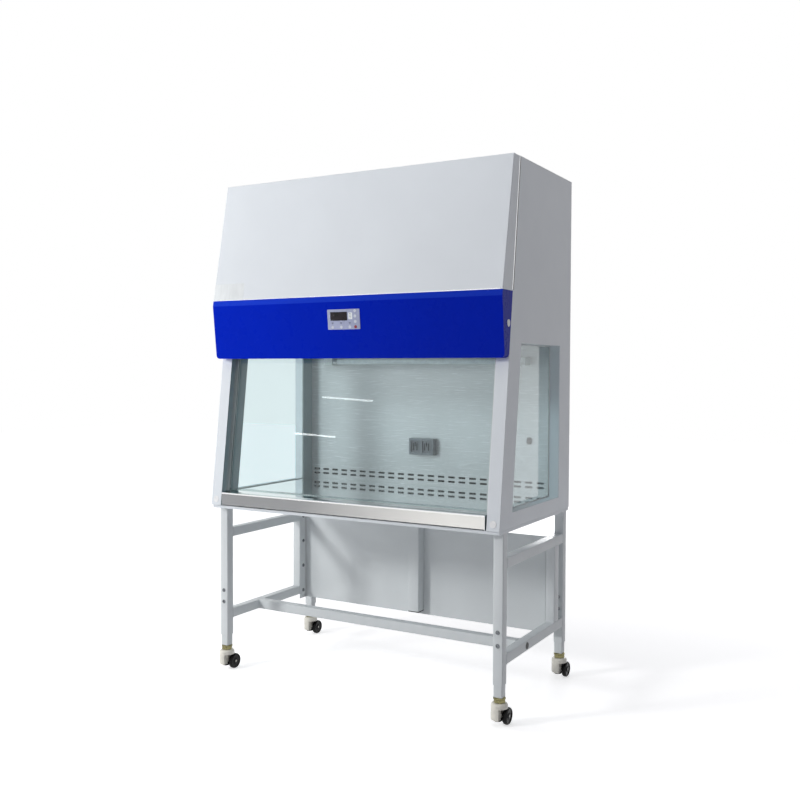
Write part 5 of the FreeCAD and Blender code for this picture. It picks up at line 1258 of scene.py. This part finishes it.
class CABINET_OT_glazing(CabinetOperator, bpy.types.Operator):
    """Side panes and the sliding sash, with ground edges"""
    bl_idname = "cabinet.glazing"
    bl_label = "Panes"

    def execute(self, context):
        for side in SIDES:
            self.make_pane("side_pane_" + side, "side_glass_" + side, "cabinet", X_AXIS)
            self.seal_pane(side)
        self.make_pane("sash_pane", "sash_glass", "sash", X_AXIS.cross(SASH_UP))
        # No opaque rail is seen under the pane, so it is a clear section.
        dress("sash_rail", "clear_section")
        dress("sash_guides", "aluminium")
        return {"FINISHED"}

    def seal_pane(self, side):
        """A silicone bead round the outer face of a side pane."""
        bm = merged_copy("side_glass_" + side)
        reach = max(abs(v.co.x) for v in bm.verts)
        corners = [v.co.copy() for v in bm.verts if abs(v.co.x) > reach - 0.0005]
        bm.free()
        mid = sum(corners, Vector()) / len(corners)
        corners.sort(key=lambda at: math.atan2(at.z - mid.z, at.y - mid.y))
        seal = self.sizes.seal
        ring = [at + (mid - at).normalized() * seal * 0.6 for at in corners]
        beads_along("pane_seal_" + side, [(ring, True)], "sealant", "cabinet", seal, 0.06)

    def make_pane(self, name, node, body, through):
        bm = merged_copy(node)
        corners = [edge for edge in bm.edges if edge.calc_face_angle(0) > 0.5]
        bmesh.ops.bevel(bm, geom=corners, offset=self.sizes.pane_edge, segments=1, affect="EDGES")
        mesh = bpy.data.meshes.new(name)
        bm.to_mesh(mesh)
        bm.free()
        settle(name, mesh, "clear_glass", body, [node], ["glass_edge"])
        second_finish(mesh, lambda face: not (looks(face, through) or looks(face, -through)))


class CABINET_OT_lamps(CabinetOperator, bpy.types.Operator):
    """Ultraviolet tube with its holders, and the chamber light"""
    bl_idname = "cabinet.lamps"
    bl_label = "Lamps"

    def execute(self, context):
        low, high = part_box("uv_lamp")
        centre = (low + high) / 2
        radius = (high.z - low.z) / 2
        long = high.x - low.x
        cap, step = 0.021, 0.0005
        glass = radius * 0.985
        tube = [(0, 0.0), (0.006, 0.0), (radius, 0.0002), (radius, cap), (glass, cap + step), (glass, 0.024)]
        profile = tube + [(r, long - z) for r, z in reversed(tube)]
        bm = bmesh.new()
        add_lathe(bm, profile, Vector((low.x, centre.y, centre.z)), X_AXIS, 40)
        mesh = to_mesh("ultraviolet_tube", outward(bm))
        settle("ultraviolet_tube", mesh, "lamp_glass", "cabinet", ["uv_lamp"], ["aluminium"])
        second_finish(mesh, lambda face: abs(face.center.x - centre.x) > long / 2 - cap - step)
        soft_node("lamp_holders", "uv_lamp_holders", "white_plastic", "cabinet", 0.0015)
        soft_node("chamber_light_body", "chamber_light", "white_plastic", "cabinet", 0.003)
        return {"FINISHED"}


class CABINET_OT_wall_fittings(CabinetOperator, bpy.types.Operator):
    """Power socket, wall plug and mains gland"""
    bl_idname = "cabinet.wall_fittings"
    bl_label = "Wall fittings"

    def execute(self, context):
        soft_node("twin_power_socket", "socket_outlet", "socket_plastic", "cabinet", 0.0012)
        self.add_contacts()
        soft_node("oval_wall_plug", "wall_plug", "black_plastic", "cabinet", 0.001)
        soft_node("mains_cable_gland", "mains_gland", "black_plastic", "cabinet", 0.0006)
        return {"FINISHED"}

    @staticmethod
    def add_contacts():
        """Two framed outlets with upright contact slots on the socket's face, the slots being black slabs of
        painted shade for the holes.
        """
        low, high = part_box("socket_outlet")
        wide, tall = high.x - low.x, high.z - low.z
        frames, slots = bmesh.new(), bmesh.new()
        for sign in (-1, 1):
            at = Vector(((low.x + high.x) / 2 + sign * wide * 0.235, low.y, (low.z + high.z) / 2))
            loops = []
            for grow, lift in ((0.0, 0.0), (-0.0008, 0.0009), (-0.0024, 0.0009), (-0.0032, 0.0)):
                outline = rounded_loop(wide * 0.205 + grow, tall * 0.4 + grow, 0.004)
                loops.append([frames.verts.new(at + Vector((u, -lift, v))) for u, v in outline])
            bridge(frames, loops, closed=True)
            for step, half_tall, rise in ((-0.009, 0.016, 0.0), (0.0, 0.009, 0.011), (0.009, 0.016, 0.0)):
                spot = at + Vector((step, 0.0, rise))
                add_slab(slots, spot, X_AXIS, Z_AXIS, 0.0021, half_tall, 0.0006, 0.0012, 0.0002)
        settle("outlet_frames", to_mesh("outlet_frames", outward(frames)), "socket_plastic", "cabinet")
        settle("contact_slots", to_mesh("contact_slots", outward(slots)), "dark_recess", "cabinet")


class CABINET_OT_air_path(CabinetOperator, bpy.types.Operator):
    """Plenum, filters, diffuser and blower inside the head"""
    bl_idname = "cabinet.air_path"
    bl_label = "Air path"

    def execute(self, context):
        for node, slot in (("plenum_box", "zinc_steel"), ("filter_frame", "aluminium"),
                           ("filter_media", "filter_paper"), ("diffuser_screen", "stainless"),
                           ("blower_housing", "zinc_steel"), ("blower_impeller", "zinc_steel"),
                           ("blower_motor", "motor_case"), ("controller_box", "zinc_steel")):
            dress(node, slot)
        self.make_prefilter(self.sizes.coarse_pleat)
        return {"FINISHED"}

    @staticmethod
    def make_prefilter(pitch):
        """A pleated mat in a frame that stands for its cardboard one, both with the prefilter's wool finish.
        """
        low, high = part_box("prefilter")
        centre = (low + high) / 2
        wide, deep, tall = high - low
        edge = 0.012
        bm = bmesh.new()
        loops = []
        for inset, z in ((0, low.z), (0, high.z), (edge, high.z), (edge, low.z)):
            loops.append([bm.verts.new((centre.x + u, centre.y + v, z))
                          for u, v in rounded_loop(wide / 2 - inset, deep / 2 - inset, 0.002)])
        bridge(bm, loops, closed=True)
        mesh = to_mesh("prefilter_frame", outward(bm))
        settle("prefilter_frame", mesh, "filter_wool", "cabinet", ["prefilter"])
        start = bpy.data.meshes.new("prefilter_start")
        folds = round((wide - 2 * edge) / pitch)
        mat = grown("prefilter_pleats", start, pleat_tree("filter_wool"), width=folds * pitch,
                    depth=deep - 2 * edge, height=tall * 0.8, pitch=pitch)
        mat.transform(Matrix.Translation((centre.x, centre.y, low.z + tall * 0.1)))
        settle("prefilter_pleats", mat, "filter_wool", "cabinet", ["prefilter"])


# Stage

class CABINET_OT_stage(CabinetOperator, bpy.types.Operator):
    """Floor, soft lamps, white surroundings and the camera"""
    bl_idname = "cabinet.stage"
    bl_label = "Stage"

    def execute(self, context):
        scene = context.scene
        stage = scene.stage_settings
        scene.view_settings.view_transform = "Standard"
        self.make_floor(stage)
        self.make_sky(scene, stage)
        for name, place, target, wide, deep, setting, mirrored in LAMPS:
            self.add_lamp(name, place, target, wide, deep, getattr(stage, setting), mirrored)
        camera = bpy.data.cameras.new("camera")
        camera.lens = stage.lens
        camera.sensor_width = 36
        holder = bpy.data.objects.new("camera", camera)
        scene.collection.objects.link(holder)
        turned = Euler(stage.camera_turn, "XYZ").to_matrix() @ Matrix.Rotation(stage.camera_roll, 3, "Z")
        holder.matrix_world = Matrix.Translation(stage.camera_place) @ turned.to_4x4()
        scene.camera = holder
        return {"FINISHED"}

    @staticmethod
    def add_lamp(name, place, target, wide, deep, watts, mirrored):
        light = bpy.data.lights.new(name, "AREA")
        light.shape = "RECTANGLE" if deep else "SQUARE"
        light.size = wide
        if deep:
            light.size_y = deep
        light.energy = watts
        holder = bpy.data.objects.new(name, light)
        holder.location = place
        holder.rotation_euler = (Vector(place) - Vector(target)).to_track_quat("Z", "Y").to_euler()
        holder.visible_camera = False
        holder.visible_glossy = mirrored
        holder.visible_transmission = mirrored
        bpy.context.scene.collection.objects.link(holder)

    @staticmethod
    def seen_white(tree):
        """One for the rays that show the surroundings: straight, mirrored and through glass."""
        path = add_node(tree, "ShaderNodeLightPath").outputs
        mirrored = add_node(tree, "ShaderNodeMath", {0: path["Is Camera Ray"], 1: path["Is Glossy Ray"]},
                            operation="MAXIMUM")
        return add_node(tree, "ShaderNodeMath", {0: mirrored.outputs[0], 1: path["Is Transmission Ray"]},
                        operation="MAXIMUM").outputs[0]

    def make_sky(self, scene, stage):
        world = bpy.data.worlds.new("white_surroundings")
        scene.world = world
        world.use_nodes = True
        tree = world.node_tree
        tree.nodes.clear()
        seen = self.seen_white(tree)
        level = add_node(tree, "ShaderNodeMapRange", {"Value": seen, 3: stage.sky, 4: 1.0})
        tint = add_node(tree, "ShaderNodeMix", {0: seen, 6: tuple(stage.sky_tint), 7: (1, 1, 1, 1)},
                        data_type="RGBA")
        sky = add_node(tree, "ShaderNodeBackground", {"Color": tint.outputs[2], "Strength": level.outputs[0]})
        add_node(tree, "ShaderNodeOutputWorld", {"Surface": sky.outputs[0]})

    def make_floor(self, stage):
        bm = bmesh.new()
        reach = stage.floor_reach
        corners = [bm.verts.new((x * reach, y * reach, 0)) for x, y in ((-1, -1), (1, -1), (1, 1), (-1, 1))]
        bm.faces.new(corners)
        mesh = bpy.data.meshes.new("floor")
        bm.to_mesh(mesh)
        bm.free()
        floor = bpy.data.objects.new("floor", mesh)
        bpy.context.scene.collection.objects.link(floor)
        made = bpy.data.materials.new("pale_floor")
        made.use_nodes = True
        tree = made.node_tree
        tree.nodes.clear()
        pale = add_node(tree, "ShaderNodeBsdfDiffuse", {"Color": tuple(stage.floor)})
        place = add_node(tree, "ShaderNodeTexCoord").outputs["Object"]
        away = add_node(tree, "ShaderNodeVectorMath", {0: place}, operation="LENGTH").outputs["Value"]
        level = add_node(tree, "ShaderNodeMapRange",
                         {"Value": away, 1: 1.0, 2: 4.0, 3: stage.near_glow, 4: stage.far_glow})
        glow = add_node(tree, "ShaderNodeMath", {0: self.seen_white(tree), 1: level.outputs[0]},
                        operation="MULTIPLY")
        white = add_node(tree, "ShaderNodeEmission", {"Color": (1, 1, 1, 1), "Strength": glow.outputs[0]})
        both = add_node(tree, "ShaderNodeAddShader", {0: pale.outputs[0], 1: white.outputs[0]})
        add_node(tree, "ShaderNodeOutputMaterial", {"Surface": both.outputs[0]})
        mesh.materials.append(made)


OPERATORS = (
    CABINET_OT_stage, CABINET_OT_side_frames, CABINET_OT_inner_legs, CABINET_OT_stand_panel,
    CABINET_OT_fasteners, CABINET_OT_casters, CABINET_OT_shell, CABINET_OT_work_tray, CABINET_OT_back_wall,
    CABINET_OT_fascia, CABINET_OT_glazing, CABINET_OT_lamps, CABINET_OT_wall_fittings, CABINET_OT_air_path,
)
GROUPS = (CabinetColours, CabinetSizes, StageSettings)


class CABINET_PT_panel(bpy.types.Panel):
    """Lists the steps that dress the cabinet"""
    bl_idname = "CABINET_PT_panel"
    bl_label = "Laminar flow cabinet"
    bl_space_type = "VIEW_3D"
    bl_region_type = "UI"
    bl_category = "Cabinet"

    def draw(self, context):
        for step in OPERATORS:
            self.layout.operator(step.bl_idname)


def register():
    for kind in (*GROUPS, *OPERATORS, CABINET_PT_panel):
        bpy.utils.register_class(kind)
    bpy.types.Scene.cabinet_colours = bpy.props.PointerProperty(type=CabinetColours)
    bpy.types.Scene.cabinet_sizes = bpy.props.PointerProperty(type=CabinetSizes)
    bpy.types.Scene.stage_settings = bpy.props.PointerProperty(type=StageSettings)


def unregister():
    del bpy.types.Scene.cabinet_colours
    del bpy.types.Scene.cabinet_sizes
    del bpy.types.Scene.stage_settings
    for kind in reversed((*GROUPS, *OPERATORS, CABINET_PT_panel)):
        bpy.utils.unregister_class(kind)


def main():
    register()
    for step in OPERATORS:
        group, name = step.bl_idname.split(".")
        getattr(getattr(bpy.ops, group), name)()


if __name__ == "__main__":
    main()
